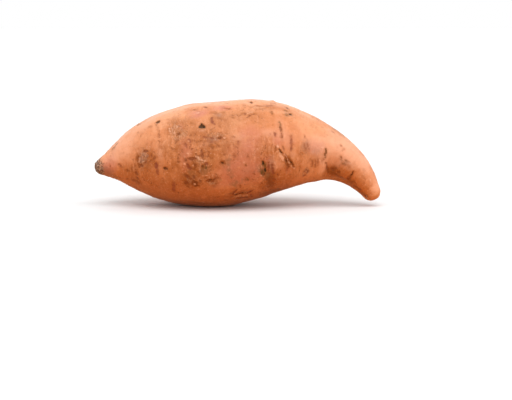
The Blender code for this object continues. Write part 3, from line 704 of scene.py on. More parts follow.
# shallow hollows and swells: middle in the photograph, reach along and round in mm, height in mm
photoSwells = (
    (333.5, 168, 5, 7.5, -2.4), (322.6, 167, 2.6, 9, 1.3), (346, 172, 4, 6, 0.5),
    (353, 176.5, 2.2, 4.5, -0.7), (281, 158, 3.5, 5.5, 0.6), (289, 160, 2.6, 4.5, -0.7),
    (143, 158, 4.5, 6.5, -0.5), (199, 161, 5, 4, 0.5), (191, 170, 6, 5, -0.4),
    (212, 181.5, 5, 3, -0.6), (241, 193.5, 7, 2.6, -0.8), (241, 197, 7, 2.4, 0.6),
    (266, 168, 4, 6.5, -0.6), (177, 130, 5, 8, -0.4), (216, 138, 7, 3, -0.4), (251, 114, 6, 3, 0.4),
    (287, 111, 4, 3, -0.4), (361, 197, 4.5, 5, -1.5), (377.5, 196, 4, 5, 0.9),
    (272.5, 101, 2.4, 3.4, 0.9), (118, 150, 8, 9, 0.3), (188, 104, 8, 9, 0.6), (219, 101, 10, 9, -0.7),
    (127, 167, 8, 6, -0.6), (243, 160, 12, 12, 0.5), (306, 145, 8, 7, -0.5), (115, 144, 4, 5, -0.7),
    (127, 132, 4, 5, -0.4), (355, 147, 3, 5, 0.4), (362, 155, 5, 5, -0.5), (373.5, 174, 4, 6, 0.4),
    (343, 182, 7, 5, -1.9),
)


def onSkin(tree, x, y):
    # where the photograph's pixel meets the root, or the nearest point if it just misses
    wide, high = camera["picture"]
    across = Vector((1, 0, 0)) * ((x - wide / 2) / focal)
    way = forward + across + upward * ((high / 2 - y) / focal)
    way.normalize()
    hit = tree.ray_cast(eye, way)
    if hit[0] is not None:
        return np.array(hit[0])
    return np.array(tree.find_nearest(eye + way * (cadMiddle - eye).length)[0])


# marks where the photograph doesn't show the skin, drawn from ranges

hiddenMarks = {
    "seed": 41,
    "shown": 0.12,  # skin that faces the viewer more than this is in the photograph
    "bareRows": (12, 14),  # rows left without marks at the stub and at the tip
    "thinnest": 2.0,  # mm, least radius that a line's run round the root is reckoned with
    "jitter": 0.25,  # mm
    # how many of each and how many points; runs along and round the root and half widths in mm
    "dash": {
        "count": 190,
        "points": 3,
        "round": (1.2, 1.8, 2.6, 4.0, 6.5),
        "stretch": (0.8, 1.2),
        "slant": 0.18,
        "half": (0.4, 0.95),
        "strength": (0.4, 1.0),
        "hues": (0.1, 0.2, 0.4, 0.5, 0.6, 0.8),
    },
    "eye": {
        "count": 30,
        "points": 2,
        "along": (-0.8, 0.8),
        "round": (1.0, 3.0),
        "half": (0.6, 1.1),
        "strength": (0.7, 1.0),
        "hues": (0.5, 0.6, 1.0),
    },
    "crack": {
        "count": 5,
        "points": 6,
        "along": (-9, 9),
        "round": (5, 11),
        "half": (0.45, 0.7),
        "strength": 0.9,
    },
    "crackLip": {"half": 0.6, "strength": 0.8, "beside": 1.6},
    "flake": {
        "count": 46,
        "points": 2,
        "along": (-2, 2),
        "round": (0.6, 2.6),
        "half": (0.35, 0.7),
        "strength": (0.4, 0.8),
    },
    # patches: how many, reach along the root in mm, reach round it as a share of that, strength
    "patches": 90,
    "patchKinds": ("scuff", "stain", "rosy", "brown", "brown", "paleAndHighlight", "streaks", "dirtAndShade"),
    "smallPatch": (2.5, 7.0),  # scuffs and stains
    "widePatch": (5.0, 14.0),  # the other kinds
    "patchShape": (0.6, 1.4),
    "deepStrength": (0.2, 0.5),
    "patchStrength": (0.4, 0.9),
    "calmPatches": {"smooth": (8, (10, 20), 0.7, 0.8), "ashen": (9, (3, 7), 0.8, 0.7)},
}


def hiddenPlace(grid, rng):
    # a random place that the photograph doesn't show, even over the skin's area
    stemRows, tailRows = hiddenMarks["bareRows"]
    while True:
        row = rng.randrange(stemRows, skin["rows"] - tailRows)
        column = rng.randrange(skin["columns"])
        if rng.random() * grid["radius"].max() > grid["radius"][row]:
            continue
        if grid["normals"][row, column] @ -np.array(forward) <= hiddenMarks["shown"]:
            return row, column


def gridLine(grid, place, alongRun, roundRun, count, rng):
    # a short line on the skin, from one place of the grid, with its run in mm
    row, column = place
    jitter = hiddenMarks["jitter"]
    rowStep = float(np.diff(grid["along"]).mean())
    radius = max(grid["radius"][row], hiddenMarks["thinnest"])
    columnStep = 2 * math.pi * radius / skin["columns"]
    line = []
    for share in np.linspace(0, 1, count):
        r = row + (alongRun * share + rng.uniform(-jitter, jitter)) / rowStep
        c = column + (roundRun * share + rng.uniform(-jitter, jitter)) / columnStep
        r = min(max(int(round(r)), 0), skin["rows"] - 1)
        line.append(grid["points"][r, int(round(c)) % skin["columns"]])
    return np.array(line)


def rangedLine(grid, ranges, rng):
    place = hiddenPlace(grid, rng)
    alongRun = rng.uniform(*ranges["along"])
    roundRun = rng.uniform(*ranges["round"])
    return gridLine(grid, place, alongRun, roundRun, ranges["points"], rng)


def hiddenLines(grid, rng):
    lines = []
    dash, eyes, crack, flake = (hiddenMarks[name] for name in ("dash", "eye", "crack", "flake"))
    for _ in range(dash["count"]):
        place = hiddenPlace(grid, rng)
        long = rng.choice(dash["round"]) * rng.uniform(*dash["stretch"])
        slant = rng.gauss(0, dash["slant"]) * long
        line = gridLine(grid, place, slant, long, dash["points"], rng)
        hue = rng.choice(dash["hues"])
        lines.append(("dash", rng.uniform(*dash["half"]), rng.uniform(*dash["strength"]), hue, line))
    for _ in range(eyes["count"]):
        line = rangedLine(grid, eyes, rng)
        hue = rng.choice(eyes["hues"])
        lines.append(("pit", rng.uniform(*eyes["half"]), rng.uniform(*eyes["strength"]), hue, line))
    for _ in range(crack["count"]):
        line = rangedLine(grid, crack, rng)
        lines.append(("crack", rng.uniform(*crack["half"]), crack["strength"], 0.5, line))
        lip = hiddenMarks["crackLip"]
        beside = line[1:5] + [lip["beside"] * mm, 0, 0]
        lines.append(("flake", lip["half"], lip["strength"], 0.5, beside))
    for _ in range(flake["count"]):
        line = rangedLine(grid, flake, rng)
        lines.append(("flake", rng.uniform(*flake["half"]), rng.uniform(*flake["strength"]), 0.5, line))
    return lines


def hiddenPatches(grid, rng):
    patches = []
    for _ in range(hiddenMarks["patches"]):
        place = hiddenPlace(grid, rng)
        kind = rng.choice(hiddenMarks["patchKinds"])
        size = "smallPatch" if kind in ("scuff", "stain") else "widePatch"
        wide = rng.uniform(*hiddenMarks[size])
        tall = wide * rng.uniform(*hiddenMarks["patchShape"])
        strength = rng.uniform(*hiddenMarks["deepStrength" if kind == "dirtAndShade" else "patchStrength"])
        patches.append((kind, grid["points"][place], wide, tall, strength))
    for kind, (count, size, shape, strength) in hiddenMarks["calmPatches"].items():
        for _ in range(count):
            place = hiddenPlace(grid, rng)
            wide = rng.uniform(*size)
            patches.append((kind, grid["points"][place], wide, wide * shape, strength))
    return patches


def skinLines(tree, grid):
    # every mark and patch, with its points on the root
    rng = random.Random(hiddenMarks["seed"])
    lines = []
    for kind, half, strength, hue, *pixels in photoMarks:
        line = np.array([onSkin(tree, *pixel) for pixel in pixels])
        lines.append((kind, half, strength, hue, line))
    lines += hiddenLines(grid, rng)
    patches = []
    for kind, places in photoPatches.items():
        for x, y, wide, tall, strength in places:
            patches.append((kind, onSkin(tree, x, y), wide, tall, strength))
    return lines, patches + hiddenPatches(grid, rng)


# how the marks and the unmarked skin rise and sink

relief = {
    # mm high, then mm from wave to wave
    "swell": (0.42, 24.0),
    "dent": (0.20, 9.0),
    "grain": (0.09, 3.2),
    "vein": (0.13, 5.5),  # lengthwise ridges
    "wrinkle": (0.15, 2.6),  # crosswise creases
    "stub": (0.45, 1.5),  # woody lumps
    "stubGrain": (0.27, 0.9),
    "outlineWarp": (0.60, 2.6),  # how ragged the marks' outlines are
    "patchWarp": (2.2, 9.0),
    # mm high
    "scuff": 0.26,
    "cork": 0.30,
    "streaks": -0.16,
    "eyeDimple": (0.30, 2.4),  # and mm wide
    "collarRing": (0.35, 9.5, 1.6),  # and mm from the stub's face, mm wide
    # where things start and where they are full or gone
    "stubEdge": (4.0, 12.0),  # mm from the stub's face
    "collar": (8.0, 7.0),  # mm from the stub's face, and how far it reaches
    "collarUnder": (-6.0, 5.0),  # mm below the root's middle, where the collar starts and is full: it lies on the lower side, partly as painted shade under the stub
    "corkEdge": (-0.2, 0.4),  # mm inside its outline
    "underside": (-0.50, 0.60),  # how far the skin faces down, where the painted underside shade starts and is full
    # the creases' share of their height everywhere, what they gain at the tail and over how many mm,
    # and what they gain near the stub, how far from its face and over how many mm
    "creases": (0.35, (0.9, 45.0), (0.9, 8.0, 16.0)),
    "roughSize": 1.6,  # mm
    "veinStretch": (0.12, 1.0, 1.0),
    "wrinkleStretch": (1.0, 0.16, 0.16),
    "veinSharpness": 2.4,
    "wrinkleSharpness": 2.2,
    "noiseStep": (17.3, 5.7, 9.1),  # how far apart the noises of two seeds lie
    "shiftStep": (7.9, 13.1, 3.3),
    "warpSeed": 7,
}
marking = {
    "far": -3.0,  # mm inside a mark, for points that no mark is near
    "hue": 0.5,
    "faint": 0.3,
    "owned": 1.2,  # mm outside a mark that still take its hue
    "reach": 5.0,  # mm outside a mark that it may change
    "fade": (0.60, -0.28),  # slope and start of how far inside itself a weak mark gets, in mm
    "narrowing": 0.5,  # share of its width that a mark loses at its ends
    "taper": 0.7,  # less is blunter
    "slender": 3.0,  # a mark shorter than this many half widths narrows less
    # mm inside where a mark starts to sink, and share of its half width where it is deep
    "depthEdges": (-0.15, 0.9),
    "lipPlace": -0.5,  # mm inside
    "tiny": 1e-9,  # keeps a mark of one point from dividing by nothing
}
noise.seed_set(relief["warpSeed"])  # noise vectors differ from run to run without it


def insideBy(points, line, half):
    # how far inside a mark each point lies, in mm, and less than 0 outside
    best = np.full(len(points), -np.inf)
    run = runAlong(line)
    total = max(run[-1], marking["tiny"])
    narrowing = marking["narrowing"] * min(1.0, total / mm / (marking["slender"] * half))
    for start, end, first in zip(line[:-1], line[1:], run[:-1]):
        way = end - start
        length = max(float(np.linalg.norm(way)), marking["tiny"])
        t = np.clip((points - start) @ way / length**2, 0, 1)
        away = np.linalg.norm(points - start - t[:, None] * way, axis=1) / mm
        share = (first + t * length) / total
        full = np.sin(math.pi * share) ** marking["taper"]
        width = half * (1 - narrowing * (1 - full))
        best = np.maximum(best, width - away)
    return best


def softStep(value, low, high):
    t = np.clip((value - low) / (high - low), 0, 1)
    return t * t * (3 - 2 * t)


def bell(value, middle, width):
    return np.exp(-(((value - middle) / width) ** 2))


def noiseAt(points, size, seed):
    # smooth noise from -1 to 1; points and size in mm
    shift = Vector([seed * part for part in relief["noiseStep"]])
    return np.array([noise.noise(Vector(p) / size + shift) for p in points])


def warpedBy(name, points, straight, seed):
    # the points moved about, so that what is drawn by them gets a ragged outline
    amount, size = relief[name]
    shift = Vector([seed * part for part in relief["shiftStep"]])
    moves = np.array([noise.noise_vector(Vector(p) / size + shift) for p in straight])
    return points + moves * amount * mm


def ovalSpot(points, direction, middle, wide, tall):
    # 1 in the middle of an oval spot, less away from it along and round the root
    away = (points - middle) / mm
    alongAway = (away * direction).sum(axis=1)
    roundAway = np.sqrt(np.maximum((away**2).sum(axis=1) - alongAway**2, 0))
    return np.exp(-((alongAway / wide) ** 2) - (roundAway / tall) ** 2)


def swellHeight(tree, points, direction):
    height = np.zeros(len(points))
    for x, y, wide, tall, top in photoSwells:
        height += top * ovalSpot(points, direction, onSkin(tree, x, y), wide, tall)
    return height


def markChannels(points, straight, lines):
    # how far inside a mark of each channel every point is, and the height in mm that marks add
    count = len(points)
    channels = {name: np.full(count, marking["far"]) for name in ("pit", "dash", "cork", "flake")}
    channels["hue"] = np.full(count, marking["hue"])
    channels["faint"] = np.full(count, marking["faint"])
    height = np.zeros(count)
    warped = warpedBy("outlineWarp", points, straight, 3)
    fadeSlope, fadeStart = marking["fade"]
    shallow, deepShare = marking["depthEdges"]
    dimple, dimpleWidth = relief["eyeDimple"]
    for kind, half, strength, hue, line in lines:
        channel, sink, lip, lipReach = markKinds[kind]
        middle = line.mean(axis=0)
        reach = np.linalg.norm(line - middle, axis=1).max() + (half + marking["reach"]) * mm
        near = np.nonzero(np.linalg.norm(points - middle, axis=1) < reach)[0]
        inside = insideBy(warped[near], line, half)
        shown = np.minimum(inside, fadeSlope * strength + fadeStart) if strength < 1 else inside
        field = channels[channel]
        wins = shown > field[near]
        field[near] = np.maximum(field[near], shown)
        if channel in ("pit", "dash"):
            owned = near[wins & (inside > -marking["owned"])]
            channels["hue"][owned] = hue
            channels["faint"][owned] = 1 - strength
        bowl = softStep(inside, shallow, half * deepShare)
        height[near] -= sink * strength * bowl
        height[near] += lip * strength * bell(inside, marking["lipPlace"], lipReach) * (1 - bowl)
        if kind == "pit":
            height[near] -= dimple * strength * bell(inside, half, dimpleWidth)
    return channels, height


def patchChannels(points, straight, direction, patches):
    warped = warpedBy("patchWarp", points, straight, 5)
    channels = {kind: np.zeros(len(points)) for kind in photoPatches}
    for kind, middle, wide, tall, strength in patches:
        here = strength * ovalSpot(warped, direction, middle, wide, tall)
        channels[kind] = 1 - (1 - channels[kind]) * (1 - here)
    return channels


def ridges(name, straight, seed):
    # sharp crests of a stretched noise, from 0 to 1
    lines = noiseAt(straight * relief[name + "Stretch"], relief[name][1], seed)
    return np.clip(1 - np.abs(lines) * relief[name + "Sharpness"], 0, 1)


def skinRelief(straight, length, channels):
    # height in mm of the skin between and on the marks
    along = straight[:, 0]
    height = np.zeros(len(straight))
    for name, seed in (("swell", 1), ("dent", 2), ("grain", 4)):
        amount, size = relief[name]
        height += amount * noiseAt(straight, size, seed)
    height += relief["vein"][0] * ridges("vein", straight, 7) ** 2
    plain, (tail, tailReach), (stem, stemPlace, stemReach) = relief["creases"]
    ends = tail * bell(along, length, tailReach) + stem * bell(along, stemPlace, stemReach)
    rings = ridges("wrinkle", straight, 9)
    height -= relief["wrinkle"][0] * (plain + ends) * rings**2
    stub = 1 - softStep(along, *relief["stubEdge"])
    for name, seed in (("stub", 11), ("stubGrain", 12)):
        amount, size = relief[name]
        height += amount * stub * noiseAt(straight, size, seed)
    amount, place, width = relief["collarRing"]
    height += amount * bell(along, place, width)
    rough = noiseAt(straight, relief["roughSize"], 13)
    height += relief["scuff"] * np.clip(channels["scuff"], 0, 1) * rough
    height += relief["cork"] * softStep(channels["cork"], *relief["corkEdge"]) * rough
    height += relief["streaks"] * np.clip(channels["streaks"], 0, 1) * rings
    channels["stub"] = stub
    place, reach = relief["collar"]
    # the collar only on the lower side: partly painted shade under the stub
    lowSide = softStep(-straight[:, 2], *relief["collarUnder"])
    channels["collar"] = bell(np.maximum(along, place), place, reach) * lowSide
    return height


def skinFaces():
    # squares between the rows, and a fan at each end round the two last points
    rows, columns = skin["rows"], skin["columns"]
    faces = []
    for row in range(rows - 1):
        for column in range(columns):
            a = row * columns + column
            b = row * columns + (column + 1) % columns
            faces.append((a, b, b + columns, a + columns))
    last = (rows - 1) * columns
    for column in range(columns):
        following = (column + 1) % columns
        faces.append((following, column, rows * columns))
        faces.append((last + column, last + following, rows * columns + 1))
    return faces


def addAttribute(mesh, name, values):
    kind, part = ("FLOAT_VECTOR", "vector") if values.ndim == 2 else ("FLOAT", "value")
    attribute = mesh.attributes.new(name, kind, "POINT")
    attribute.data.foreach_set(part, values.astype(np.float32).ravel())


def unwrap(mesh, grid, faces):
    # lays the skin out flat, as wide at each row as the root is round there, with the seam underneath
    rows, columns = skin["rows"], skin["columns"]
    width = grid["radius"] / grid["radius"].max() * skin["flatWidth"]
    margin = skin["flatMargin"]
    high = margin + (1 - 2 * margin) * grid["along"] / grid["length"]
    places = []
    for face in faces:
        edge = any(i < rows * columns and i % columns == columns - 1 for i in face)
        for index in face:
            if index >= rows * columns:
                places.append((0.5, margin if index == rows * columns else 1 - margin))
                continue
            row, column = divmod(index, columns)
            column = columns if edge and column == 0 else column
            places.append((0.5 + (column / columns - 0.5) * width[row], high[row]))
    layer = mesh.uv_layers.new(name="OFBake")
    layer.data.foreach_set("uv", np.array(places, np.float32).ravel())


def skinMesh(tree):
    grid = skinGrid(tree)
    print("skin grid ready")
    points = grid["points"].reshape(-1, 3)
    normals = grid["normals"].reshape(-1, 3)
    straight = grid["straight"].reshape(-1, 3)
    direction = np.repeat(grid["direction"], skin["columns"], axis=0)
    lines, patches = skinLines(tree, grid)
    channels, height = markChannels(points, straight, lines)
    channels.update(patchChannels(points, straight, direction, patches))
    print("marks ready:", len(lines), "lines and", len(patches), "patches")
    height += swellHeight(tree, points, direction)
    height += skinRelief(straight, grid["length"], channels)
    # painted shade on the underside, by how far the skin faces down
    channels["under"] = softStep(-normals[:, 2], *relief["underside"])
    points = points + normals * height[:, None] * mm
    points[:, 2] = np.maximum(points[:, 2], 0.0)
    columns = skin["columns"]
    poles = [points[:columns].mean(axis=0), points[-columns:].mean(axis=0)]
    faces = skinFaces()
    mesh = bpy.data.meshes.new("sweetPotatoSkin")
    mesh.from_pydata(np.vstack([points, poles]).tolist(), [], faces)
    ends = [[0, 0, 0], [grid["length"], 0, 0]]
    addAttribute(mesh, "straight", np.vstack([straight, ends]))
    for name, values in channels.items():
        addAttribute(mesh, name, np.append(values, [values[0], values[-1]]))
    unwrap(mesh, grid, faces)
    mesh.shade_smooth()
    mesh.update()
    return mesh, grid


# the skin's material

skinColours = {
    "orange": (0.625, 0.225, 0.085),
    "peach": (0.745, 0.325, 0.159),
    "rosy": (0.60, 0.215, 0.135),
    "brown": (0.41, 0.130, 0.031),
    # painted shade on the underside
    "under": (0.395, 0.120, 0.028),
    # dirt, and painted shade along the lower edge and in hollows
    "dirtAndShade": (0.22, 0.054, 0.004),
    # paler skin, and painted highlight
    "paleAndHighlight": (0.85, 0.455, 0.31),
    "light": (0.80, 0.33, 0.149),
    "golden": (0.68, 0.19, 0.040),
    "dust": (0.86, 0.47, 0.31),
    "grime": (0.33, 0.088, 0.010),
    "vein": (0.80, 0.40, 0.19),
    "scuff": (0.50, 0.225, 0.105),
    "scuffDark": (0.25, 0.070, 0.010),
    "netting": (0.79, 0.44, 0.28),
    "stain": (0.20, 0.108, 0.050),
    "ashen": (0.31, 0.190, 0.150),
    "purple": (0.25, 0.060, 0.026),
    "bark": (0.20, 0.048, 0.004),
    "olive": (0.11, 0.060, 0.010),
    "corkLight": (0.52, 0.27, 0.18),
    "corkDark": (0.19, 0.062, 0.020),
    "flake": (0.80, 0.42, 0.265),
    "pitBrown": (0.095, 0.025, 0.002),
    "pitBlack": (0.035, 0.018, 0.004),
    "halo": (0.36, 0.100, 0.014),
    # dark collar, partly painted shade under the stub
    "collar": (0.33, 0.145, 0.105),
    "stubLight": (0.50, 0.34, 0.25),
    "stubDark": (0.090, 0.036, 0.018),
}
skinNoise = {
    # size in mm, detail, roughness, bend
    "broad": (30, 3, 0.55, 0.4),
    "blush": (19, 2, 0.5, 0.8),
    "mottle": (8.5, 3, 0.6, 0.6),
    "fine": (2.4, 3, 0.6),
    "pores": (0.8, 2, 0.6),
    "veins": (3.6, 3, 0.6, 0.5),
    "lines": (1.4, 2, 0.6, 0.3),
    "worn": (3.4, 5, 0.72),
    "speck": (1.2, 2, 0.7),
    "crust": (2.8, 3, 0.62, 0.4),
    "flecks": (1.5, 3, 0.75, 0.4),
    "blots": (2.3, 4, 0.75, 0.4),
    "ragged": (0.9, 2, 0.6),
    "grit": (1.3, 2, 0.7),
    "corkGrain": (1.6, 3, 0.7),
    "stubGrain": (1.1, 3, 0.7),
}
skinStretch = {
    # less than 1 draws a pattern out along the root, or round it
    "lengthwise": (0.16, 1.0, 1.0),
    "crosswise": (1.0, 0.22, 0.22),
    "slits": (1.0, 0.42, 0.42),
    "worn": (1.0, 0.6, 0.6),
}
skinCells = {"slits": 4.6, "pores": 2.1, "net": 1.9}  # mm
skinGloss = {
    "IOR": 1.42,
    "Specular IOR Level": 0.30,
    "Sheen Weight": 0.18,
    "Sheen Roughness": 0.40,
    "Sheen Tint": (1.0, 0.88, 0.80, 1.0),
}


class Paint:
    # the skin's colour and its height in mm so far, and the noises and masks that several steps read
    def __init__(self, graph):
        self.g = graph
        self.where = graph.add("ShaderNodeAttribute", {"attribute_name": "straight"}, out="Vector")
        self.mottle = self.noise("mottle")
        self.fine = self.noise("fine")
        self.fields = {}
        self.masks = {}
        self.colour = rgba(skinColours["orange"])
        self.height = (self.noise("pores") - 0.5) * 0.05 + (self.fine - 0.5) * 0.07
        self.rough = 0.50 + self.uneven(0.14, 0.12)

    def stretched(self, name):
        return self.g.stretch(self.where, skinStretch[name]) if name else self.where

    def noise(self, name, stretch=None):
        return self.g.noise(self.stretched(stretch), *skinNoise[name])

    def cells(self, name, stretch=None, **options):
        return self.g.cells(self.stretched(stretch), skinCells[name], **options)

    def field(self, name):
        # one of the channels that the mesh carries
        if name not in self.fields:
            self.fields[name] = self.g.value(name)
        return self.fields[name]

    def uneven(self, coarse, fine):
        # what makes a mask's edge ragged
        return (self.mottle - 0.5) * coarse + (self.fine - 0.5) * fine

    def lay(self, mask, name):
        # one of the skin's colours, or a mixed one, over what is there
        colour = rgba(skinColours[name]) if isinstance(name, str) else name
        self.colour = self.g.mix(mask, self.colour, colour)

    def twoTone(self, mask, first, second):
        return self.g.mix(mask, rgba(skinColours[first]), rgba(skinColours[second]))


def paintBroad(p):
    # orange to peach, rosy and brown areas, and painted shade that darkens the underside
    g, paleAndHighlight, rosy, brown = p.g, p.field("paleAndHighlight"), p.field("rosy"), p.field("brown")
    p.lay(g.step(p.noise("broad") + paleAndHighlight * 0.3, 0.40, 0.66), "peach")
    p.lay(g.step(p.noise("blush") * 0.7 + rosy * 0.75, 0.42, 1.0), "rosy")
    brownMask = g.step(p.mottle * 0.7 + p.fine * 0.25 + brown * 0.75, 0.52, 1.08)
    p.lay(brownMask * 0.78, "brown")
    # painted underside shade, less where it is taken back
    p.masks["under"] = p.field("under") * (1 - p.field("underShadeLift"))
    p.lay(p.masks["under"] * (0.55 + p.mottle * 0.6), "under")


def paintVeins(p):
    # lengthwise veins and faint crosswise lines
    g, streaks = p.g, p.field("streaks")
    veinMask = g.step(p.noise("veins", "lengthwise"), 0.56, 0.74)
    p.lay(veinMask * 0.18, "vein")
    lines = p.noise("lines", "crosswise")
    lineMask = g.step(lines, 0.55, 0.66)
    p.lay(lineMask * (0.08 + streaks * 0.55), "grime")
    p.lay(g.step(lines, 0.45, 0.34) * (0.08 + streaks * 0.45), "dust")
    p.height = p.height + veinMask * 0.035 - lineMask * 0.03


def paintMottling(p):
    # soft light and dark mottling and fine specks, weaker where the skin is smooth; the light mottling
    # is also weaker under the painted underside shade
    g = p.g
    calm = 1 - p.field("smooth") * 0.55
    worn = p.noise("worn", "worn") - 0.5 + (p.fine - 0.5) * 0.5
    tone = (p.mottle - 0.5) * 0.6 + worn * calm
    light = g.step(tone, 0.0, 0.30)
    p.lay(light * (0.70 - p.masks["under"] * 0.3), "light")
    grime = g.step(tone - p.field("brown") * 0.12, -0.02, -0.30)
    p.lay(grime * 0.62, "grime")
    speck = p.noise("speck")
    p.lay(g.step(speck, 0.58, 0.72) * calm * 0.25, "grime")
    p.lay(g.step(speck, 0.42, 0.30) * calm * 0.38, "dust")
    p.height = p.height + light * 0.02 - grime * 0.06


def paintTints(p):
    # rosy tint, paler skin with painted highlight, then golden tint
    for name, strength in (("rosy", 0.35), ("paleAndHighlight", 0.48)):
        p.lay(p.g.step(p.field(name) + p.fine * 0.3, 0.3, 1.1) * strength, name)
    p.lay(p.field("golden") * 0.5, "golden")


def paintLenticels(p):
    # short crosswise slits, in about a third of the cells, and pores
    g = p.g
    p.masks["open"] = (1 - p.field("paleAndHighlight") * 0.7) * (1 - p.field("smooth") * 0.8)
    colours = p.cells("slits", "slits", out="Color")
    picked = g.step(g.add("ShaderNodeSeparateColor", {}, {0: colours}), 0.62, 0.70)
    slitMask = g.step(p.cells("slits", "slits") + p.fine * 0.12, 0.17, 0.10) * picked
    p.lay(slitMask * p.masks["open"] * 0.7, "bark")
    poreMask = g.step(p.cells("pores"), 0.20, 0.10)
    p.lay(poreMask * p.masks["open"] * 0.22, "halo")
    p.height = p.height - slitMask * 0.08 - poreMask * 0.035


def paintDirt(p):
    # dark patches that are partly dirt and partly painted shade in hollows and along the lower edge, and
    # small crusts of dirt on the browner skin
    g, dirtAndShade = p.g, p.field("dirtAndShade")
    p.lay(g.step(dirtAndShade + p.uneven(0.4, 0.7), 0.05, 1.05) * 0.90, "dirtAndShade")
    crust = p.noise("crust") + p.field("brown") * 0.09 + dirtAndShade * 0.08
    crustMask = g.step(crust, 0.65, 0.71)
    p.lay(crustMask * p.masks["open"] * 0.62, "bark")
    p.height = p.height - crustMask * 0.08


def paintScuffs(p):
    # scuffed, netted patches
    g = p.g
    mask = g.step(p.field("scuff") + p.uneven(0.7, 0.5), 0.28, 0.55)
    net = p.cells("net", "worn", feature="DISTANCE_TO_EDGE")
    netMask = g.step(net + (p.fine - 0.5) * 0.25, 0.12, 0.02)
    flecks = g.step(p.noise("flecks", "crosswise"), 0.47, 0.34)
    blots = g.step(p.noise("blots"), 0.49, 0.62)
    p.lay(mask * 0.25, "scuff")
    p.lay(mask * blots * 0.50, "scuffDark")
    p.lay(mask * (netMask * 0.18 + flecks * 0.42), "netting")
    p.rough = p.rough + mask * 0.10
    p.height = p.height + mask * (netMask * 0.05 + flecks * 0.10 - blots * 0.14)


def paintSoil(p):
    # dry soil, brown and grey
    soilMask = p.g.step(p.field("stain") + p.uneven(0.4, 0.9), 0.35, 0.85)
    p.lay(soilMask * 0.62, "stain")
    p.lay(p.g.step(p.field("ashen") + (p.fine - 0.5) * 0.7, 0.10, 0.90) * 0.50, "ashen")
    p.rough = p.rough + soilMask * 0.16


def paintMarks(p):
    # dashes in three hues, corky scab, light raised flakes, some of which paint highlights on lips and
    # folds, then pits and cracks
    g, hue, dash, pit = p.g, p.field("hue"), p.field("dash"), p.field("pit")
    ragged = (p.fine - 0.5) * 1.3 + (p.noise("ragged") - 0.5) * 1.1
    grit = g.step(p.noise("grit"), 0.40, 0.62)
    dashColour = p.twoTone(g.step(hue, 0.2, 0.5), "purple", "bark")
    dashColour = g.mix(g.step(hue, 0.6, 0.9), dashColour, rgba(skinColours["olive"]))
    p.lay(g.step(dash + ragged, -1.7, 0.0) * 0.36, "grime")
    dashMask = g.step(dash + ragged * 1.2, -0.45, 0.3)
    plain = 1 - p.field("faint") * 0.8
    p.lay(dashMask * plain * (0.98 - grit * 0.28), dashColour)
    corkMask = g.step(p.field("cork") + ragged, -0.45, 0.3)
    corkGrain = g.step(p.noise("corkGrain", "crosswise"), 0.38, 0.62)
    p.lay(corkMask * 0.8, p.twoTone(corkGrain, "corkDark", "corkLight"))
    flakeMask = g.step(p.field("flake") + ragged * 1.2, -0.35, 0.3)
    p.lay(flakeMask * (0.42 + grit * 0.45), "flake")
    p.lay(g.step(pit + ragged, -1.7, -0.2) * 0.42, "halo")
    pitMask = g.step(pit + ragged * 0.9, -0.45, 0.30)
    pitColour = p.twoTone(g.step(hue, 0.65, 0.85), "pitBrown", "pitBlack")
    p.lay(pitMask * (0.98 - grit * 0.25), pitColour)
    p.masks["cork"] = corkMask
    p.rough = p.rough + corkMask * 0.18 + pitMask * 0.2
    p.height = p.height + flakeMask * 0.10 - pitMask * 0.25 - dashMask * 0.08


def paintStub(p):
    # the woody stub and the dark collar round its lower side, partly painted shade under the stub; the
    # same grain roughens the corky scab
    g = p.g
    grain = p.noise("stubGrain")
    collarMask = g.step(p.field("collar") + p.uneven(0.8, 0.6), 0.15, 0.85)
    p.lay(collarMask * 0.7, "collar")
    stubMask = g.step(p.field("stub") + (p.fine - 0.5) * 1.3, 0.20, 0.90)
    p.lay(stubMask, p.twoTone(g.step(grain, 0.42, 0.64), "stubDark", "stubLight"))
    p.rough = p.rough + stubMask * 0.22
    p.height = p.height + (stubMask * 0.7 + p.masks["cork"] * 0.5) * (grain - 0.5)


def skinMaterial():
    material, graph = newMaterial("sweetPotatoSkin")
    p = Paint(graph)
    for paint in (paintBroad, paintVeins, paintMottling, paintTints, paintLenticels):
        paint(p)
    for paint in (paintDirt, paintScuffs, paintSoil, paintMarks, paintStub):
        paint(p)
    print("skin colours laid:", len(graph.tree.nodes), "nodes")
    bump = {"Strength": 1.0, "Distance": mm, "Height": p.height}
    normal = graph.add("ShaderNodeBump", {}, bump)
    graph.surface({"Base Color": p.colour, "Roughness": p.rough, "Normal": normal, **skinGloss})
    return material


# rootlets

rootlets = {
    "sides": 6,
    "joints": 9,
    "sunk": 0.4,  # mm of each rootlet inside the skin
    "lean": 0.5,  # how far they start off straight up
    "wander": 0.28,  # how much they bend at each joint
    "droop": 0.06,
    "leastRise": 0.1,
    "lift": 0.3,
    "floorClear": 0.4,  # mm
    "lowest": 2.0,  # mm, none grows lower than this
    "tip": 0.25,  # share of the thickness at the base
    "lengths": (0.6, 1.2),  # shares of the tuft's length
    "dark": (0.13, 0.075, 0.035),
    "light": (0.52, 0.33, 0.19),
    "seed": 12,
    # x and y in the photograph, how many, spread in mm, length and thickness in mm
    "tufts": (
        (112.5, 175.2, 5, 2.0, 2.4, 0.20),
        (117.0, 177.0, 7, 2.4, 2.8, 0.22),
        (272.6, 101.6, 6, 1.4, 1.8, 0.18),
        (245.0, 196.0, 3, 3.0, 2.4, 0.20),
        (194.5, 184.0, 3, 1.0, 1.6, 0.18),
        (366.0, 196.6, 4, 1.6, 2.0, 0.18),
        (138.6, 124.6, 2, 1.0, 1.2, 0.20),
    ),
    # where the photograph doesn't show: how many tufts, how many in each, then as above
    "hiddenTufts": (16, (1, 2, 4), 1.2, (1.2, 3.0), 0.2),
}


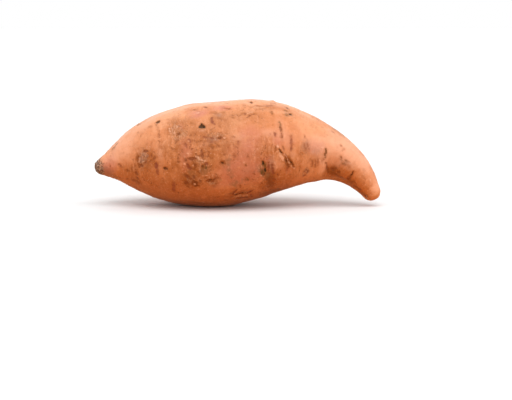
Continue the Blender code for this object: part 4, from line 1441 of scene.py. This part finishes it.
def tube(points, radii, sides):
    # a closed round tube that narrows along its points
    points = np.array(points)
    direction = unit(np.gradient(points, axis=0))
    # the axis that the tube crosses most squarely
    helper = np.eye(3)[np.argmin(np.abs(points[-1] - points[0]))]
    up = unit(np.cross(helper, direction))
    side = np.cross(direction, up)
    turn = (np.arange(sides) * 2 * math.pi / sides)[:, None]
    spokes = np.cos(turn) * up[:, None] + np.sin(turn) * side[:, None]
    rings = points[:, None] + radii[:, None, None] * spokes
    vertices = rings.reshape(-1, 3).tolist()
    faces = []
    for ring in range(len(points) - 1):
        for k in range(sides):
            a = ring * sides + k
            b = ring * sides + (k + 1) % sides
            faces.append((a, b, b + sides, a + sides))
    faces.append(tuple(range(sides - 1, -1, -1)))
    faces.append(tuple(range(len(vertices) - sides, len(vertices))))
    return vertices, faces


def rootletPath(base, normal, length, rng):
    # grows out of the skin, wanders and droops a little
    step = length * mm / (rootlets["joints"] - 1)
    way = unit(normal + np.array([rng.gauss(0, rootlets["lean"]) for _ in range(3)]))
    path = [base - normal * rootlets["sunk"] * mm, base]
    for _ in range(rootlets["joints"] - 2):
        bend = np.array([rng.gauss(0, rootlets["wander"]) for _ in range(3)])
        way = unit(way + bend - [0, 0, rootlets["droop"]])
        if way @ normal < rootlets["leastRise"]:  # it would grow back into the skin
            way += normal * rootlets["lift"]
        place = path[-1] + way * step
        place[2] = max(place[2], rootlets["floorClear"] * mm)
        path.append(place)
    return path


def rootletPlaces(tree, grid, rng):
    # one row for each rootlet: its tuft's centre, spread, length and thickness
    places = []
    for x, y, count, spread, length, thick in rootlets["tufts"]:
        places += [(onSkin(tree, x, y), spread, length, thick)] * count
    tufts, counts, spread, lengths, thick = rootlets["hiddenTufts"]
    for _ in range(tufts):
        centre = grid["points"][hiddenPlace(grid, rng)]
        count = rng.choice(counts)
        places += [(centre, spread, rng.uniform(*lengths), thick)] * count
    return places


def rootletMesh(tree, grid):
    rng = random.Random(rootlets["seed"])
    vertices, faces, shade = [], [], []
    for centre, spread, length, thick in rootletPlaces(tree, grid, rng):
        near = Vector(centre) + Vector([rng.gauss(0, spread * 0.5) * mm for _ in range(3)])
        base, normal = tree.find_nearest(near)[:2]
        if base.z < rootlets["lowest"] * mm:
            continue
        length *= rng.uniform(*rootlets["lengths"])
        path = rootletPath(np.array(base), np.array(normal), length, rng)
        radii = np.linspace(thick, thick * rootlets["tip"], len(path)) * mm / 2
        tubePoints, tubeFaces = tube(path, radii, rootlets["sides"])
        faces += [tuple(len(vertices) + i for i in face) for face in tubeFaces]
        vertices += tubePoints
        shade += [rng.random()] * len(tubePoints)
    mesh = bpy.data.meshes.new("rootlets")
    mesh.from_pydata(vertices, [], faces)
    addAttribute(mesh, "shade", np.array(shade))
    mesh.shade_smooth()
    return mesh


def rootletMaterial():
    material, g = newMaterial("rootlets")
    where = g.add("ShaderNodeTexCoord", {}, out="Object")
    grain = g.noise(where, 0.9 * mm, 2, 0.6)
    mask = g.step(g.value("shade") * 0.7 + grain * 0.6, 0.3, 0.95)
    colour = g.mix(mask, rgba(rootlets["dark"]), rgba(rootlets["light"]))
    bump = g.add("ShaderNodeBump", {}, {"Strength": 0.6, "Distance": 0.1 * mm, "Height": grain})
    rough = 0.7 + (grain - 0.5) * 0.2
    g.surface({"Base Color": colour, "Roughness": rough, "Normal": bump})
    return material


# floor, light and background

studio = {
    "floorSize": 12.0,
    "floorDrop": 0.0002,  # below the root's flat spot
    "floorColour": (0.80, 0.80, 0.80),
    "bounce": (0.76, 0.41, 0.18),  # the warm light that the floor gives back
    "ambient": 0.48,
}
suns = {
    # strength, then elevation, azimuth from the viewer and softness in degrees
    "key": (1.55, 66, 0, 50),
    "front": (0.35, 20, 10, 60),
    "left": (0.60, 40, -80, 50),
    "right": (1.00, 40, 80, 50),
    "back": (0.60, 35, 180, 60),
}


def makeFloor():
    half = studio["floorSize"] / 2
    corners = [(-half, -half, 0), (half, -half, 0), (half, half, 0), (-half, half, 0)]
    mesh = bpy.data.meshes.new("floor")
    mesh.from_pydata(corners, [], [(0, 1, 2, 3)])
    material, g = newMaterial("paleFloor")
    seen = g.add("ShaderNodeLightPath", {}, out="Is Camera Ray")
    colour = g.mix(seen, rgba(studio["bounce"]), rgba(studio["floorColour"]))
    g.surface({"Base Color": colour, "Roughness": 0.9, "Specular IOR Level": 0.2})
    mesh.materials.append(material)
    obj = addObject("floor", mesh)
    obj.location.z = -studio["floorDrop"]


def makeSun(name):
    energy, elevation, azimuth, softness = suns[name]
    data = bpy.data.lights.new(name + "Light", "SUN")
    data.energy = energy
    data.angle = math.radians(softness)
    high = math.radians(elevation)
    turn = math.radians(azimuth)
    level = Vector((math.sin(turn), -math.cos(turn), 0)) * math.cos(high)
    toLight = level + Vector((0, 0, math.sin(high)))
    addObject(name + "Light", data).rotation_euler = toLight.to_track_quat("Z", "Y").to_euler()


def makeWorld():
    # white where the camera looks past the floor, and a softer light on everything else
    world = bpy.data.worlds.new("whiteStudio")
    bpy.context.scene.world = world
    world.use_nodes = True
    g = Graph(world.node_tree)
    white = rgba((1, 1, 1))
    seen = g.add("ShaderNodeBackground", {}, {"Color": white, "Strength": 1.0})
    lit = g.add("ShaderNodeBackground", {}, {"Color": white, "Strength": studio["ambient"]})
    direct = g.add("ShaderNodeLightPath", {}, out="Is Camera Ray")
    glossy = g.add("ShaderNodeLightPath", {}, out="Is Glossy Ray")
    both = g.add("ShaderNodeMixShader", {}, {0: direct + glossy, 1: lit, 2: seen})
    g.add("ShaderNodeOutputWorld", {}, {"Surface": both})


def makeStudio():
    makeFloor()
    for name in suns:
        makeSun(name)
    makeWorld()
    bpy.context.scene.view_settings.view_transform = "Standard"


# putting it together

def cadTree():
    vertices = [vertex.co for vertex in cadRoot.data.vertices]
    polygons = [tuple(polygon.vertices) for polygon in cadRoot.data.polygons]
    return BVHTree.FromPolygons(vertices, polygons)


def makePiece(name, mesh, material):
    mesh.materials.append(material)
    obj = addObject(name, mesh)
    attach(obj, "root")
    return obj


makeCamera()
makeStudio()
print("camera, floor and light ready")
rootTree = cadTree()
skinData, skinRows = skinMesh(rootTree)
print("skin mesh ready:", len(skinData.vertices), "points")
skinPiece = makePiece("skin", skinData, skinMaterial())
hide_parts("sweet_potato")
makePiece("rootlets", rootletMesh(rootTree, skinRows), rootletMaterial())
print("rootlets ready")
